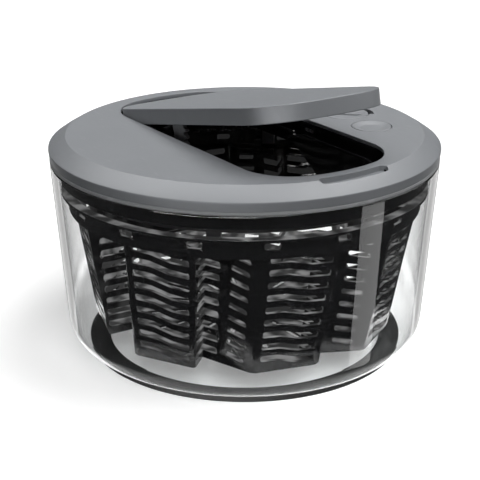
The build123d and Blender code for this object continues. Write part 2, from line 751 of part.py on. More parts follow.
with BuildPart() as lid_base:
    with BuildSketch(Plane.XY.offset(base_plate_level)):
        Circle(base_radius)
    extrude(amount=base_plate)
    with BuildSketch(Plane.XY.offset(base_top - base_skirt_height)):
        Circle(base_radius)
        Circle(skirt_inner_radius, mode=Mode.SUBTRACT)
    extrude(amount=base_skirt_height)
    with BuildSketch(Plane.XY.offset(base_plate_level)):
        add(gutter_outer)
        add(gutter_inner, mode=Mode.SUBTRACT)
    extrude(amount=lid_under - base_plate_level)
    with BuildSketch(Plane.XY.offset(gear_floor)):
        Circle(pod_radius)
        with Locations((gear_pod_middle, -collar_half_width - pod_radius / 2)):
            Rectangle(gear_pod_length + 2 * pod_wall, pod_radius, mode=Mode.INTERSECT)
    extrude(amount=base_plate_level - gear_floor)
    with BuildSketch(Plane.XY.offset(gear_floor)):
        Circle(pod_radius - pod_wall)
        with Locations((gear_pod_middle, -collar_half_width - collar_wall - pod_radius / 2)):
            Rectangle(gear_pod_length, pod_radius, mode=Mode.INTERSECT)
    extrude(amount=base_plate_level - gear_floor, mode=Mode.SUBTRACT)
    add(latch_pod.part)
    add(latch_void.part, mode=Mode.SUBTRACT)
    with BuildSketch(Plane.XY.offset(base_plate_level)):
        add(well_shape(collar_wall))
    extrude(amount=collar_level - base_plate_level)
    with BuildSketch(Plane.XY.offset(base_plate_level - base_plate)):
        add(well_shape(0))
    extrude(amount=collar_level, mode=Mode.SUBTRACT)
    sector_slot_low = hinge_x + sector_radius * cos(radians(mesh_drop + lever_lift)) - sector_depth
    sector_slot_high = crown_x + fine_pinion_radius + 2 * fine_module
    with BuildSketch(Plane.XY.offset(base_plate_level)):
        with Locations(((sector_slot_low + sector_slot_high) / 2, sector_y - sector_plate / 2)):
            Rectangle(sector_slot_high - sector_slot_low, sector_plate + 4 * moving_gap)
        with Locations((crown_x, crown_pitch_y + crown_disc / 2)):
            Rectangle(2 * (crown_radius + crown_face_width), crown_disc + 4 * fine_module)
    extrude(amount=base_plate, mode=Mode.SUBTRACT)
    with BuildSketch(Plane.XY.offset(ring_pinion_level - 2 * moving_gap)):
        with Locations((crown_x, clutch_y)):
            Circle(ring_pinion_radius + ring_module * tooth_above + 2 * moving_gap)
    extrude(amount=ring_pinion_width + 4 * moving_gap, mode=Mode.SUBTRACT)
    with BuildSketch(Plane.XZ.offset(collar_half_width)):
        with Locations((crown_x, crown_level)):
            Circle(gear_pin_radius + insert_gap)
    extrude(amount=2 * collar_wall, mode=Mode.SUBTRACT)
    with BuildSketch(Plane.XY.offset(base_plate_level)):
        with Locations((crown_x, step_y), (crown_x, clutch_y)):
            Circle(gear_pin_radius + insert_gap)
    extrude(amount=base_plate, mode=Mode.SUBTRACT)
    with BuildSketch(Plane.XZ):
        with Locations((hinge_x, (hinge_level + base_plate_level) / 2)):
            Rectangle(2 * knuckle_radius, hinge_level - base_plate_level)
        with Locations((hinge_x, hinge_level)):
            Circle(knuckle_radius)
    extrude(amount=knuckle_offset - knuckle_width / 2 - moving_gap, both=True)
    with BuildSketch(Plane.XZ):
        with Locations((hinge_x, (hinge_level + base_top) / 2 + knuckle_radius)):
            Rectangle(4 * knuckle_radius, hinge_level - base_top + 2 * knuckle_radius)
    extrude(amount=knuckle_offset - 1.5 * knuckle_width - moving_gap, both=True, mode=Mode.SUBTRACT)
    with BuildSketch(Plane.XZ):
        with Locations((hinge_x, hinge_level)):
            Circle(hinge_pin_radius + insert_gap)
    extrude(amount=knuckle_offset, both=True, mode=Mode.SUBTRACT)
    with BuildSketch(Plane.XZ.offset(-opening_half_width)):
        with Locations((knob_x, bolt_level + bolt_plate / 2)):
            Rectangle(bolt_width + 2 * moving_gap, bolt_plate + 2 * moving_gap)
    extrude(amount=-2 * gutter_wall, mode=Mode.SUBTRACT)
    with BuildSketch(Plane.XZ.offset(-collar_half_width + collar_wall)):
        with Locations((knob_x, collar_level)):
            Rectangle(bolt_width, 2 * bolt_plate)
    extrude(amount=-3 * collar_wall, mode=Mode.SUBTRACT)
    with BuildSketch(brake_plane.offset(base_plate_level)):
        with Locations(((arm_low + ring_radius) / 2, 0)):
            Rectangle(ring_radius - arm_low + 4 * moving_gap, arm_width + 4 * moving_gap)
    extrude(amount=base_plate, mode=Mode.SUBTRACT)
    with BuildSketch(Plane.XY.offset(latch_pod_bottom + pod_wall / 2)):
        with Locations((brake_x, brake_y)):
            Circle(brake_post_radius)
    extrude(amount=brake_post_level - latch_pod_bottom - pod_wall / 2)
lid_base.part.label = "lid_base"
export_step(lid_base.part, "parts/lid_base.step")

with BuildPart() as gear_cover_plate:
    with BuildSketch(Plane.XY.offset(gear_cover_level)):
        Circle(pod_radius)
        with Locations((gear_pod_middle, -collar_half_width - pod_radius / 2)):
            Rectangle(gear_pod_length + 2 * pod_wall, pod_radius, mode=Mode.INTERSECT)
    extrude(amount=gear_cover)
    sump_low = hinge_x + sector_radius * cos(radians(sector_low_angle)) - sector_depth - 2 * pod_wall
    sump_middle = (sump_low + crown_x) / 2
    sump_length = crown_x - sump_low
    sump_width = sector_plate + 4 * pod_wall
    with BuildSketch(Plane.XY.offset(gear_cover_level - sump_depth)):
        with Locations((sump_middle, -collar_half_width - sump_width / 2)):
            Rectangle(sump_length, sump_width)
    extrude(amount=sump_depth)
    with BuildSketch(Plane.XY.offset(gear_cover_level - sump_depth + gear_cover)):
        with Locations((sump_middle, -collar_half_width - sump_width / 2)):
            Rectangle(sump_length - 2 * pod_wall, sump_width - 2 * pod_wall)
    extrude(amount=sump_depth, mode=Mode.SUBTRACT)
    with BuildSketch(Plane.XY.offset(gear_cover_level)):
        with Locations((crown_x, step_y), (crown_x, clutch_y)):
            Circle(gear_pin_radius + insert_gap)
    extrude(amount=gear_cover, mode=Mode.SUBTRACT)
gear_cover_plate.part.label = "gear_cover"
export_step(gear_cover_plate.part, "parts/gear_cover.step")

with BuildPart() as ring_retainer:
    with BuildSketch(Plane.XY.offset(ring_flange_level - moving_gap - retainer_height)):
        Circle(skirt_inner_radius - insert_gap)
        Circle(ring_radius + 2 * moving_gap, mode=Mode.SUBTRACT)
    extrude(amount=retainer_height)
ring_retainer.part.label = "ring_retainer"
export_step(ring_retainer.part, "parts/ring_retainer.step")

# Drive ring: inner teeth for the pinion, a flange that hangs on the retainer and dogs for the basket
clutch_angle = degrees(atan2(clutch_y, crown_x))
with BuildPart() as drive_ring:
    gap_share = 1 - tooth_share
    inner_teeth = gear_outline(ring_teeth, ring_module, clutch_angle, gap_share, tooth_below, tooth_above)
    with BuildSketch(Plane.XY.offset(ring_low_level)):
        Circle(ring_radius)
        with BuildLine():
            Polyline(*inner_teeth, close=True)
        make_face(mode=Mode.SUBTRACT)
    extrude(amount=ring_height)
    with BuildSketch(Plane.XY.offset(ring_flange_level)):
        Circle(ring_flange_radius)
        Circle(ring_radius - dog_radial / 2, mode=Mode.SUBTRACT)
    extrude(amount=ring_flange)
    dog_turn = degrees((lug_width / 2 + dog_width / 2 + moving_gap) / (ring_radius - dog_radial / 2))
    with BuildSketch(Plane.XY.offset(ring_low_level - dog_depth)):
        dog_start = basket_phase + lug_angle - dog_turn
        with PolarLocations(ring_radius - dog_radial / 2 - moving_gap, basket_sectors, dog_start):
            Rectangle(dog_radial, dog_width)
    extrude(amount=dog_depth + dog_root)
drive_ring.part.label = "drive_ring"
export_step(drive_ring.part, "parts/drive_ring.step")

# Gear train from the lever to the drive ring
with BuildPart() as crown_gear:
    pinion_low_y = sector_y + moving_gap
    pinion_width = sector_plate + 2 * moving_gap
    with BuildSketch(Plane.XZ.offset(-pinion_low_y)):
        with BuildLine():
            Polyline(
                *[
                    (crown_x + x, crown_level + z)
                    for x, z in gear_outline(pinion_teeth, fine_module, 180 - mesh_drop)
                ],
                close=True,
            )
        make_face()
    extrude(amount=pinion_width)
    disc_y = crown_pitch_y + tooth_below * fine_module
    with BuildSketch(Plane.XZ.offset(-pinion_low_y)):
        with Locations((crown_x, crown_level)):
            Circle(fine_pinion_radius - 2 * fine_module)
    extrude(amount=pinion_low_y - disc_y)
    with BuildSketch(Plane.XZ.offset(-disc_y - crown_disc)):
        with Locations((crown_x, crown_level)):
            RegularPolygon(crown_radius + crown_face_width / 2, 2 * crown_teeth)
    extrude(amount=crown_disc)
    crown_tip = crown_pitch_y - tooth_above * fine_module
    crown_pitch_width = tooth_share * pi * fine_module
    crown_flank = tan(radians(pressure_angle))
    for tooth in range(crown_teeth):
        tooth_turn = 360 * tooth / crown_teeth - 90
        across, upwards = polar(1, tooth_turn)
        tooth_plane = Plane(
            (crown_x + crown_radius * across, crown_pitch_y, crown_level + crown_radius * upwards),
            x_dir=(-upwards, 0, across),
            z_dir=(across, 0, upwards),
        )
        low = tooth_below * fine_module + crown_disc / 2
        high = tooth_above * fine_module
        wide = crown_pitch_width / 2 + tooth_below * fine_module * crown_flank
        narrow = crown_pitch_width / 2 - high * crown_flank
        up = 1 if tooth_plane.y_dir.Y < 0 else -1
        with BuildSketch(tooth_plane):
            with BuildLine():
                Polyline(
                    (-wide, -up * low),
                    (wide, -up * low),
                    (narrow, up * high),
                    (-narrow, up * high),
                    close=True,
                )
            make_face()
        extrude(amount=crown_face_width / 2, both=True)
    with BuildSketch(Plane.XZ.offset(-pinion_low_y)):
        with Locations((crown_x, crown_level)):
            Circle(gear_pin_radius + running_gap)
    extrude(amount=pinion_low_y - crown_tip + crown_disc, mode=Mode.SUBTRACT)
crown_gear.part.label = "crown_gear"
export_step(crown_gear.part, "parts/crown_gear.step")

with BuildPart() as crown_gear_pin:
    with BuildSketch(Plane.XZ.offset(collar_half_width)):
        with Locations((crown_x, crown_level)):
            Circle(gear_pin_radius)
    extrude(amount=-collar_half_width - crown_tip)
crown_gear_pin.part.label = "crown_gear_pin"
export_step(crown_gear_pin.part, "parts/crown_gear_pin.step")

step_pinion_high = crown_level - crown_radius + crown_face_width / 2
with BuildPart() as step_gear:
    with BuildSketch(Plane.XY.offset(step_wheel_level)):
        with BuildLine():
            Polyline(*gear_outline(step_wheel_teeth, fine_module, -90), close=True)
        make_face()
    extrude(amount=gear_width)
    with BuildSketch(Plane.XY.offset(step_wheel_level)):
        with BuildLine():
            Polyline(*gear_outline(pinion_teeth, fine_module, 90 + 180 / pinion_teeth), close=True)
        make_face()
    extrude(amount=step_pinion_high - step_wheel_level)
    with BuildSketch(Plane.XY.offset(step_wheel_level)):
        Circle(gear_pin_radius + running_gap)
    extrude(amount=step_pinion_high - step_wheel_level, mode=Mode.SUBTRACT)
step_gear_part = step_gear.part.moved(Location((crown_x, step_y, 0)))
step_gear_part.label = "step_gear"
export_step(step_gear_part, "parts/step_gear.step")

with BuildPart() as clutch_gear:
    with BuildSketch(Plane.XY.offset(step_wheel_level)):
        with BuildLine():
            Polyline(*gear_outline(pinion_teeth, fine_module, 90 + 180 / pinion_teeth), close=True)
        make_face()
    extrude(amount=clutch_cup_level - step_wheel_level)
    with BuildSketch(Plane.XY.offset(clutch_cup_level)):
        Circle(clutch_cup_radius)
    extrude(amount=clutch_cup_high - clutch_cup_level)
    with BuildSketch(Plane.XY.offset(clutch_cup_level + pod_wall / 2)):
        Circle(clutch_track_radius)
    extrude(amount=clutch_cup_high - clutch_cup_level, mode=Mode.SUBTRACT)
    with BuildSketch(Plane.XY.offset(step_wheel_level)):
        Circle(gear_pin_radius + running_gap)
    extrude(amount=clutch_cup_high - step_wheel_level, mode=Mode.SUBTRACT)
clutch_gear_part = clutch_gear.part.moved(Location((crown_x, clutch_y, 0)))
clutch_gear_part.label = "clutch_gear"
export_step(clutch_gear_part, "parts/clutch_gear.step")

with BuildPart() as clutch_rollers:
    roller_orbit = clutch_track_radius - clutch_roller_radius - running_gap
    with BuildSketch(Plane.XY.offset(roller_low)):
        with Locations((crown_x, clutch_y)):
            with PolarLocations(roller_orbit, clutch_rollers_count):
                Circle(clutch_roller_radius)
    extrude(amount=clutch_cup_high - roller_low)
clutch_rollers.part.label = "clutch_rollers"
export_step(clutch_rollers.part, "parts/clutch_rollers.step")

clutch_hub_radius = clutch_track_radius - 2 * clutch_roller_radius - 3 * running_gap
with BuildPart() as ring_pinion:
    with BuildSketch(Plane.XY.offset(ring_pinion_level)):
        with BuildLine():
            Polyline(*gear_outline(ring_pinion_teeth, ring_module, clutch_angle), close=True)
        make_face()
    extrude(amount=ring_pinion_width)
    with BuildSketch(Plane.XY.offset(roller_low)):
        Circle(clutch_hub_radius)
    extrude(amount=ring_pinion_level - roller_low)
    with BuildSketch(Plane.XY.offset(roller_low)):
        Circle(gear_pin_radius + running_gap)
    extrude(amount=ring_pinion_level + ring_pinion_width - roller_low, mode=Mode.SUBTRACT)
ring_pinion_part = ring_pinion.part.moved(Location((crown_x, clutch_y, 0)))
ring_pinion_part.label = "ring_pinion"
export_step(ring_pinion_part, "parts/ring_pinion.step")

with BuildPart() as step_gear_pin:
    with BuildSketch(Plane.XY.offset(gear_cover_level)):
        with Locations((crown_x, step_y)):
            Circle(gear_pin_radius)
    extrude(amount=base_top - gear_cover_level)
step_gear_pin.part.label = "step_gear_pin"
export_step(step_gear_pin.part, "parts/step_gear_pin.step")

with BuildPart() as clutch_pin:
    with BuildSketch(Plane.XY.offset(gear_cover_level)):
        with Locations((crown_x, clutch_y)):
            Circle(gear_pin_radius)
    extrude(amount=base_top - gear_cover_level)
clutch_pin.part.label = "clutch_pin"
export_step(clutch_pin.part, "parts/clutch_pin.step")

# Lever, drawn on its own plane, which the hinge tilts up
with BuildPart() as lever_cover:
    with BuildSketch(lever_plane.offset(lever_top - lever_skirt_height)):
        add(lever_shape(0))
    extrude(amount=lever_skirt_height)
    with BuildSketch(lever_plane.offset(lever_top - lever_skirt_height)):
        add(lever_shape(-lever_skirt))
    extrude(amount=lever_skirt_height - lid_plate, mode=Mode.SUBTRACT)
    with BuildSketch(lever_side_plane):
        with Locations((knob_x - hinge_x, bolt_level + bolt_plate / 2 - hinge_level)):
            Rectangle(bolt_width + 4 * moving_gap, bolt_plate + 4 * moving_gap)
    extrude(amount=-opening_half_width, mode=Mode.SUBTRACT)
lever_cover.part.label = "lever_cover"
export_step(lever_cover.part, "parts/lever_cover.step")

frame_back = knuckle_radius + frame_clear
with BuildPart() as lever_frame:
    with BuildSketch(lever_plane.offset(frame_under)):
        add(lever_shape(-lever_skirt - insert_gap))
        with Locations((frame_back - opening_radius, 0)):
            Rectangle(2 * opening_radius, 4 * opening_half_width, mode=Mode.SUBTRACT)
    extrude(amount=frame_plate)
    for side in (-1, 1):
        knuckle_plane = Plane(
            (hinge_x, side * knuckle_offset, hinge_level), x_dir=lever_plane.x_dir, z_dir=(0, -1, 0)
        )
        with BuildSketch(knuckle_plane):
            Circle(knuckle_radius)
            with Locations(((frame_back + frame_clear) / 2, (lever_under + frame_under) / 2)):
                Rectangle(frame_back + frame_clear, frame_plate)
        extrude(amount=knuckle_width / 2, both=True)
        with BuildSketch(knuckle_plane):
            Circle(hinge_pin_radius + running_gap)
        extrude(amount=knuckle_width, both=True, mode=Mode.SUBTRACT)
lever_frame.part.label = "lever_frame"
export_step(lever_frame.part, "parts/lever_frame.step")

with BuildPart() as hinge_pin:
    with BuildSketch(Plane.XZ):
        with Locations((hinge_x, hinge_level)):
            Circle(hinge_pin_radius)
    extrude(amount=knuckle_offset + knuckle_width / 2, both=True)
hinge_pin.part.label = "hinge_pin"
export_step(hinge_pin.part, "parts/hinge_pin.step")

# Toothed sector under the lever: straight flanks on the arc, hung from a web and a foot
sector_points = []
sector_base = sector_radius * cos(radians(pressure_angle))
sector_full = tooth_share * radians(sector_pitch) / 2 + involute(radians(pressure_angle))
for tooth in range(sector_first_tooth, sector_last_tooth + 1):
    middle = radians((tooth + 0.5) * sector_pitch - mesh_drop - lever_lift)
    for height, side in ((-tooth_below, -1), (tooth_above, -1), (tooth_above, 1), (-tooth_below, 1)):
        radius = sector_radius + height * fine_module
        angle = middle + side * (sector_full - involute(acos(sector_base / radius)))
        sector_points.append((radius * cos(angle), radius * sin(angle)))
with BuildPart() as drive_sector:
    with BuildSketch(lever_side_plane.offset(-sector_y)):
        with BuildLine():
            Polyline(
                *sector_points,
                (sector_points[-1][0], frame_under),
                (sector_back - sector_web, frame_under),
                polar(sector_back, sector_low_angle / 2),
                polar(sector_back, sector_low_angle),
                close=True,
            )
        make_face()
    extrude(amount=sector_plate)
    with BuildSketch(lever_plane.offset(frame_under)):
        with Locations((sector_back + sector_foot_shift, sector_y + sector_plate)):
            Rectangle(sector_foot_length, sector_foot_width)
    extrude(amount=-frame_plate)
drive_sector.part.label = "drive_sector"
export_step(drive_sector.part, "parts/drive_sector.step")

with BuildPart() as lever_stops:
    stop_radius = collar_front_radius + collar_wall / 2
    for side in (-1, 1):
        stop_x, stop_y = polar(stop_radius, side * stop_angle)
        with BuildSketch(lever_plane.offset(frame_under)):
            with Locations((stop_x - hinge_x, stop_y)):
                Rectangle(stop_length, stop_width)
        extrude(amount=-stop_height)
lever_stops.part.label = "lever_stops"
export_step(lever_stops.part, "parts/lever_stops.step")

# Leaf spring that lifts the lever, from the hinge deck to the underside of the frame
leaf_x = deck_edge - lever_leaf_clear
leaf_lift = (leaf_x - hinge_x) * sin(radians(lever_lift)) + frame_under * cos(radians(lever_lift))
leaf_high = hinge_level + leaf_lift - 2 * moving_gap
leaf_points = [
    (hinge_x + lever_leaf_start, base_top),
    (hinge_x + lever_leaf_bend, base_top),
    (leaf_x, leaf_high - spring_strip),
    (leaf_x, leaf_high),
    (leaf_x - spring_tip, leaf_high),
    (hinge_x + lever_leaf_bend - spring_strip, base_top + spring_strip),
    (hinge_x + lever_leaf_start, base_top + spring_strip),
]
with BuildPart() as lever_spring:
    with BuildSketch(Plane.XZ):
        with BuildLine():
            Polyline(*leaf_points, close=True)
        make_face()
    extrude(amount=spring_width, both=True)
lever_spring.part.label = "lever_spring"
export_step(lever_spring.part, "parts/lever_spring.step")

# Stop button, its arm, the rubber pad over the drive ring and the leaf that lifts them
with BuildPart() as brake_button:
    with BuildSketch(Plane.XY.offset(lid_top_level - button_plate)):
        with Locations((brake_x, brake_y)):
            Circle(button_radius)
    extrude(amount=button_plate)
    with BuildSketch(Plane.XY.offset(arm_level + arm_plate)):
        with Locations((brake_x, brake_y)):
            Circle(button_stem_radius)
    extrude(amount=lid_top_level - button_plate - arm_level - arm_plate)
    with BuildSketch(Plane.XY.offset(lid_top_level)):
        with Locations((brake_x, brake_y)):
            Circle(button_radius - button_edge)
    extrude(amount=-button_dish, taper=dish_slope, mode=Mode.SUBTRACT)
brake_button.part.label = "brake_button"
export_step(brake_button.part, "parts/brake_button.step")

with BuildPart() as brake_arm:
    with BuildSketch(brake_plane.offset(arm_level)):
        with Locations(((arm_low + ring_radius) / 2, 0)):
            Rectangle(ring_radius - arm_low, arm_width)
    extrude(amount=arm_plate)
brake_arm.part.label = "brake_arm"
export_step(brake_arm.part, "parts/brake_arm.step")

with BuildPart() as brake_pad:
    pad_low = ring_top + brake_travel + moving_gap
    with BuildSketch(brake_plane.offset(pad_low)):
        with Locations((ring_radius - dog_radial / 2, 0)):
            Rectangle(dog_radial, pad_width)
    extrude(amount=arm_level - pad_low)
brake_pad.part.label = "brake_pad"
export_step(brake_pad.part, "parts/brake_pad.step")

with BuildPart() as brake_spring:
    leaf_half = brake_post_radius - spring_tip
    leaf_top = arm_level - moving_gap
    with BuildSketch(Plane.XZ.offset(-brake_y)):
        with BuildLine():
            Polyline(
                (brake_x - leaf_half, brake_post_level),
                (brake_x - leaf_half + spring_foot, brake_post_level),
                (brake_x, leaf_top - spring_crown),
                (brake_x + leaf_half - spring_foot, brake_post_level),
                (brake_x + leaf_half, brake_post_level),
                (brake_x + spring_tip, leaf_top),
                (brake_x - spring_tip, leaf_top),
                close=True,
            )
        make_face()
    extrude(amount=spring_width / 2, both=True)
brake_spring.part.label = "brake_spring"
export_step(brake_spring.part, "parts/brake_spring.step")

# Lock: a knob with an offset pin slides a steel bolt into the lever's edge
knob_flange_level = lid_under - moving_gap - knob_flange
with BuildPart() as lock_knob:
    with BuildSketch(Plane.XY.offset(knob_flange_level + knob_flange / 2)):
        with Locations((knob_x, knob_y)):
            Circle(knob_radius)
        with BuildLine():
            ear_radius = knob_radius + knob_ear_reach / 2 - knob_ear_root
            knob_ear_path = CenterArc((knob_x, knob_y), ear_radius, lock_ear_low_angle, knob_ear_angle)
        trace(knob_ear_path, knob_ear_reach)
    extrude(amount=lid_top_level - knob_flange_level - knob_flange / 2)
    with BuildSketch(Plane.XY.offset(knob_flange_level)):
        with Locations((knob_x, knob_y)):
            Circle(knob_flange_radius)
    extrude(amount=knob_flange)
    with BuildSketch(Plane.XY.offset(lid_top_level)):
        with Locations((knob_x, knob_y)):
            Circle(knob_radius - knob_edge)
    extrude(amount=-knob_dish, taper=dish_slope, mode=Mode.SUBTRACT)
    ridge_plane = Plane((knob_x, knob_y, knob_flange_level + knob_flange), x_dir=(*polar(1, ridge_angle), 0))
    with BuildSketch(ridge_plane):
        Rectangle(ridge_length, ridge_width)
    extrude(amount=lid_top_level - knob_flange_level - knob_flange)
    pin_x, pin_y = polar(lock_pin_offset, lock_turn / 2)
    with BuildSketch(Plane.XY.offset(bolt_level + moving_gap)):
        with Locations((knob_x + pin_x, knob_y + pin_y)):
            Circle(lock_pin_radius)
    extrude(amount=knob_flange_level + knob_flange / 2 - bolt_level - moving_gap)
lock_knob.part.label = "lock_knob"
export_step(lock_knob.part, "parts/lock_knob.step")

bolt_end_y = knob_y + bolt_body_half
bolt_body_y = knob_y - bolt_body_half
with BuildPart() as lock_bolt:
    with BuildSketch(Plane.XY.offset(bolt_level)):
        with Locations((knob_x, (bolt_y + bolt_end_y) / 2)):
            Rectangle(bolt_width, bolt_end_y - bolt_y)
        with Locations((knob_x, (bolt_body_y + bolt_end_y) / 2)):
            Rectangle(bolt_body_width, bolt_end_y - bolt_body_y)
        pin_slot_width = 2 * lock_pin_radius + 2 * running_gap
        with Locations((knob_x + pin_x + bolt_slot_shift, knob_y + pin_y)):
            SlotOverall(2 * lock_pin_radius + bolt_slot_play, pin_slot_width, mode=Mode.SUBTRACT)
    extrude(amount=bolt_plate)
lock_bolt.part.label = "lock_bolt"
export_step(lock_bolt.part, "parts/lock_bolt.step")

with BuildPart() as latch_cover:
    rail_inner = bolt_body_width / 2 + moving_gap
    rail_low_y = opening_half_width + moving_gap + gutter_wall + moving_gap
    rail_high_y = knob_y + knob_flange_radius + latch_rail
    rail_middle_y = (rail_low_y + rail_high_y) / 2
    plate_top = bolt_level - moving_gap
    with BuildSketch(Plane.XY.offset(plate_top - latch_plate)):
        with Locations((knob_x, rail_middle_y)):
            Rectangle(2 * (rail_inner + latch_rail), rail_high_y - rail_low_y)
    extrude(amount=latch_plate)
    with BuildSketch(Plane.XY.offset(plate_top)):
        for side in (-1, 1):
            with Locations((knob_x + side * (rail_inner + latch_rail / 2), rail_middle_y)):
                Rectangle(latch_rail, rail_high_y - rail_low_y)
    extrude(amount=lid_under - plate_top)
    with BuildSketch(Plane.XY.offset(knob_flange_level - moving_gap)):
        with Locations((knob_x, knob_y)):
            Circle(knob_radius + knob_ear_reach + 2 * moving_gap)
    extrude(amount=2 * lid_plate, mode=Mode.SUBTRACT)
latch_cover.part.label = "latch_cover"
export_step(latch_cover.part, "parts/latch_cover.step")
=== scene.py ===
import json
from math import acos, cos, degrees, pi, radians, sin, tan

import bmesh
import bpy
from mathutils import Matrix, Vector


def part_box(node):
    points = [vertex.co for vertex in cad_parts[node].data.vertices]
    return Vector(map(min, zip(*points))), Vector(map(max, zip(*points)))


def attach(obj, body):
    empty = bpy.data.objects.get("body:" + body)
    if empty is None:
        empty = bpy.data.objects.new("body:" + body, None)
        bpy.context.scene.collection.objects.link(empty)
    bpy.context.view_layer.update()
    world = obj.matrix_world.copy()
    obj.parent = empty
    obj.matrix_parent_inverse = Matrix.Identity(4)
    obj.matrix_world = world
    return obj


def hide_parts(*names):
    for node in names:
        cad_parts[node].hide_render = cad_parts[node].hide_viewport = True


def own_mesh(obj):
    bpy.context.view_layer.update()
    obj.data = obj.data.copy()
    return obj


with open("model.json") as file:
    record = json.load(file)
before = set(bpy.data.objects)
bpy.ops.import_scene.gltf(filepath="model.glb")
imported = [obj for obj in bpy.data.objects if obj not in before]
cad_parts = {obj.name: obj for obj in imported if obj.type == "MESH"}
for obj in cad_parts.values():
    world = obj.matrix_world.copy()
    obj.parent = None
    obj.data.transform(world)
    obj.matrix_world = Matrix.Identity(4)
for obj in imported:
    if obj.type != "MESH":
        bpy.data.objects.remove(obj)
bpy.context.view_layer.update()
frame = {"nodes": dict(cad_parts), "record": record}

bl_info = {
    "name": "Salad Spinner Looks",
    "version": (1, 0, 0),
    "blender": (4, 5, 0),
    "location": "View3D > Sidebar > Spinner",
    "description": "Dresses the salad spinner with rounded meshes, finishes, studio light and a camera",
    "category": "Object",
}

# Points closer than this are joined, in metres
WELD = 1e-6

# Steps of the spun pieces round the axis, and of the arcs in their sections
ROUND_STEPS = 192
CORNER_STEPS = 14
INNER_CORNER_STEPS = 12
LIP_STEPS = 5
SEAT_STEPS = 8
SMALL_STEPS = 4

# Turn between two faces, in degrees, from which their edge is rounded over or shaded sharp
SHARP_TURN = 35.0
CREASE_TURN = 12.0
PANEL_TURN = 40.0
SLOT_TURN = 50.0
SHADE_TURN = 38.0
LID_SHADE_TURN = 30.0

# Segments across a rounded edge
EDGE_SEGMENTS = 2
LEVER_SEGMENTS = 3
ROUND_SEGMENTS = 4

# Leaf springs: node, the joint that presses it, and the share of its height that it keeps
SPRINGS = (
    ("lever_spring", "lever_pump", 0.58),
    ("brake_spring", "brake_press", 0.62),
)

# Camera of the photograph, in metres and degrees; its shift is a share of the picture's width
CAMERA_REACH = 0.800
CAMERA_LEVEL = 0.371633
CAMERA_TURN = 56.0
CAMERA_PITCH = 20.78
CAMERA_VIEW = 22.03
AXIS_SHIFT = 4.7 / 480

# Soft suns: name, turn from the camera and height in degrees, spread in degrees and strength
SUNS = (
    ("key", 98.0, 66.0, 34.0, 1.75),
    ("fill", 14.0, 46.0, 40.0, 1.8),
)
LAMP_REACH = 1.5

# Cards that show in the gloss: turn from the camera, height, half width, half height, soft edge, strength
CARDS = (
    (81.0, -31.0, 0.13, 0.12, 0.01, 2.6),
    (-168.0, 66.0, 0.50, 0.25, 0.15, 9.0),
    (152.0, -27.0, 0.17, 0.30, 0.03, 1.2),
    (-152.0, -27.0, 0.17, 0.30, 0.03, 1.2),
    (100.0, 24.0, 0.30, 0.30, 0.15, 2.0),
    (-22.0, -5.0, 0.45, 0.17, 0.08, 11.0),
)
CARD_FRONT = (0.0, 0.05)

# Soft light of the sky, how far it leans to the camera's right, and what gloss sees between the cards
AMBIENT = 0.14
SIDE_SHARE = 0.8
GLOSS_BASE = 0.012

# Floor: its half width, the white it adds to the picture alone, and how much it holds back from dull faces
FLOOR_SIZE = 6.0
FLOOR_LIFT = 0.3
FLOOR_HUSH = 0.75

# Painted dark paper, shown only to some rays: its grey, the ring beyond which it paints dark reflections in
# the gloss, and where it paints shade behind the basket
PAINTED_DARK_GREY = (0.015, 0.015, 0.015, 1.0)
DARK_REFLECTION_RING = (0.126, 0.140)
PAINTED_SHADE_ASIDE = (0.10, 0.09)
PAINTED_SHADE_BEHIND = (0.12, 0.15)

# Clear plastic: surfaces that a ray crosses in one wall, its index of refraction, and its tint in shadows
WALL_CROSSINGS = 2.0
CLEAR_IOR = 1.45
SHADOW_TINT = (0.95, 0.96, 0.96, 1.0)

# Painted light inside the basket's slots, a glow that is no lamp: even and in patches of painted glints, and
# the faces that have it
SLOT_PAINTED_GLOW = 0.025
SLOT_PAINTED_GLINT = 0.2
FACING_IN = (0.0, -0.02)
FACING_UP = (0.3, 0.9)


def around(turn, height, reach):
    """A place round the axis: turn 0 is in front of -Y, and grows towards +X."""
    flat = reach * cos(radians(height))
    return Vector((flat * sin(radians(turn)), -flat * cos(radians(turn)), reach * sin(radians(height))))


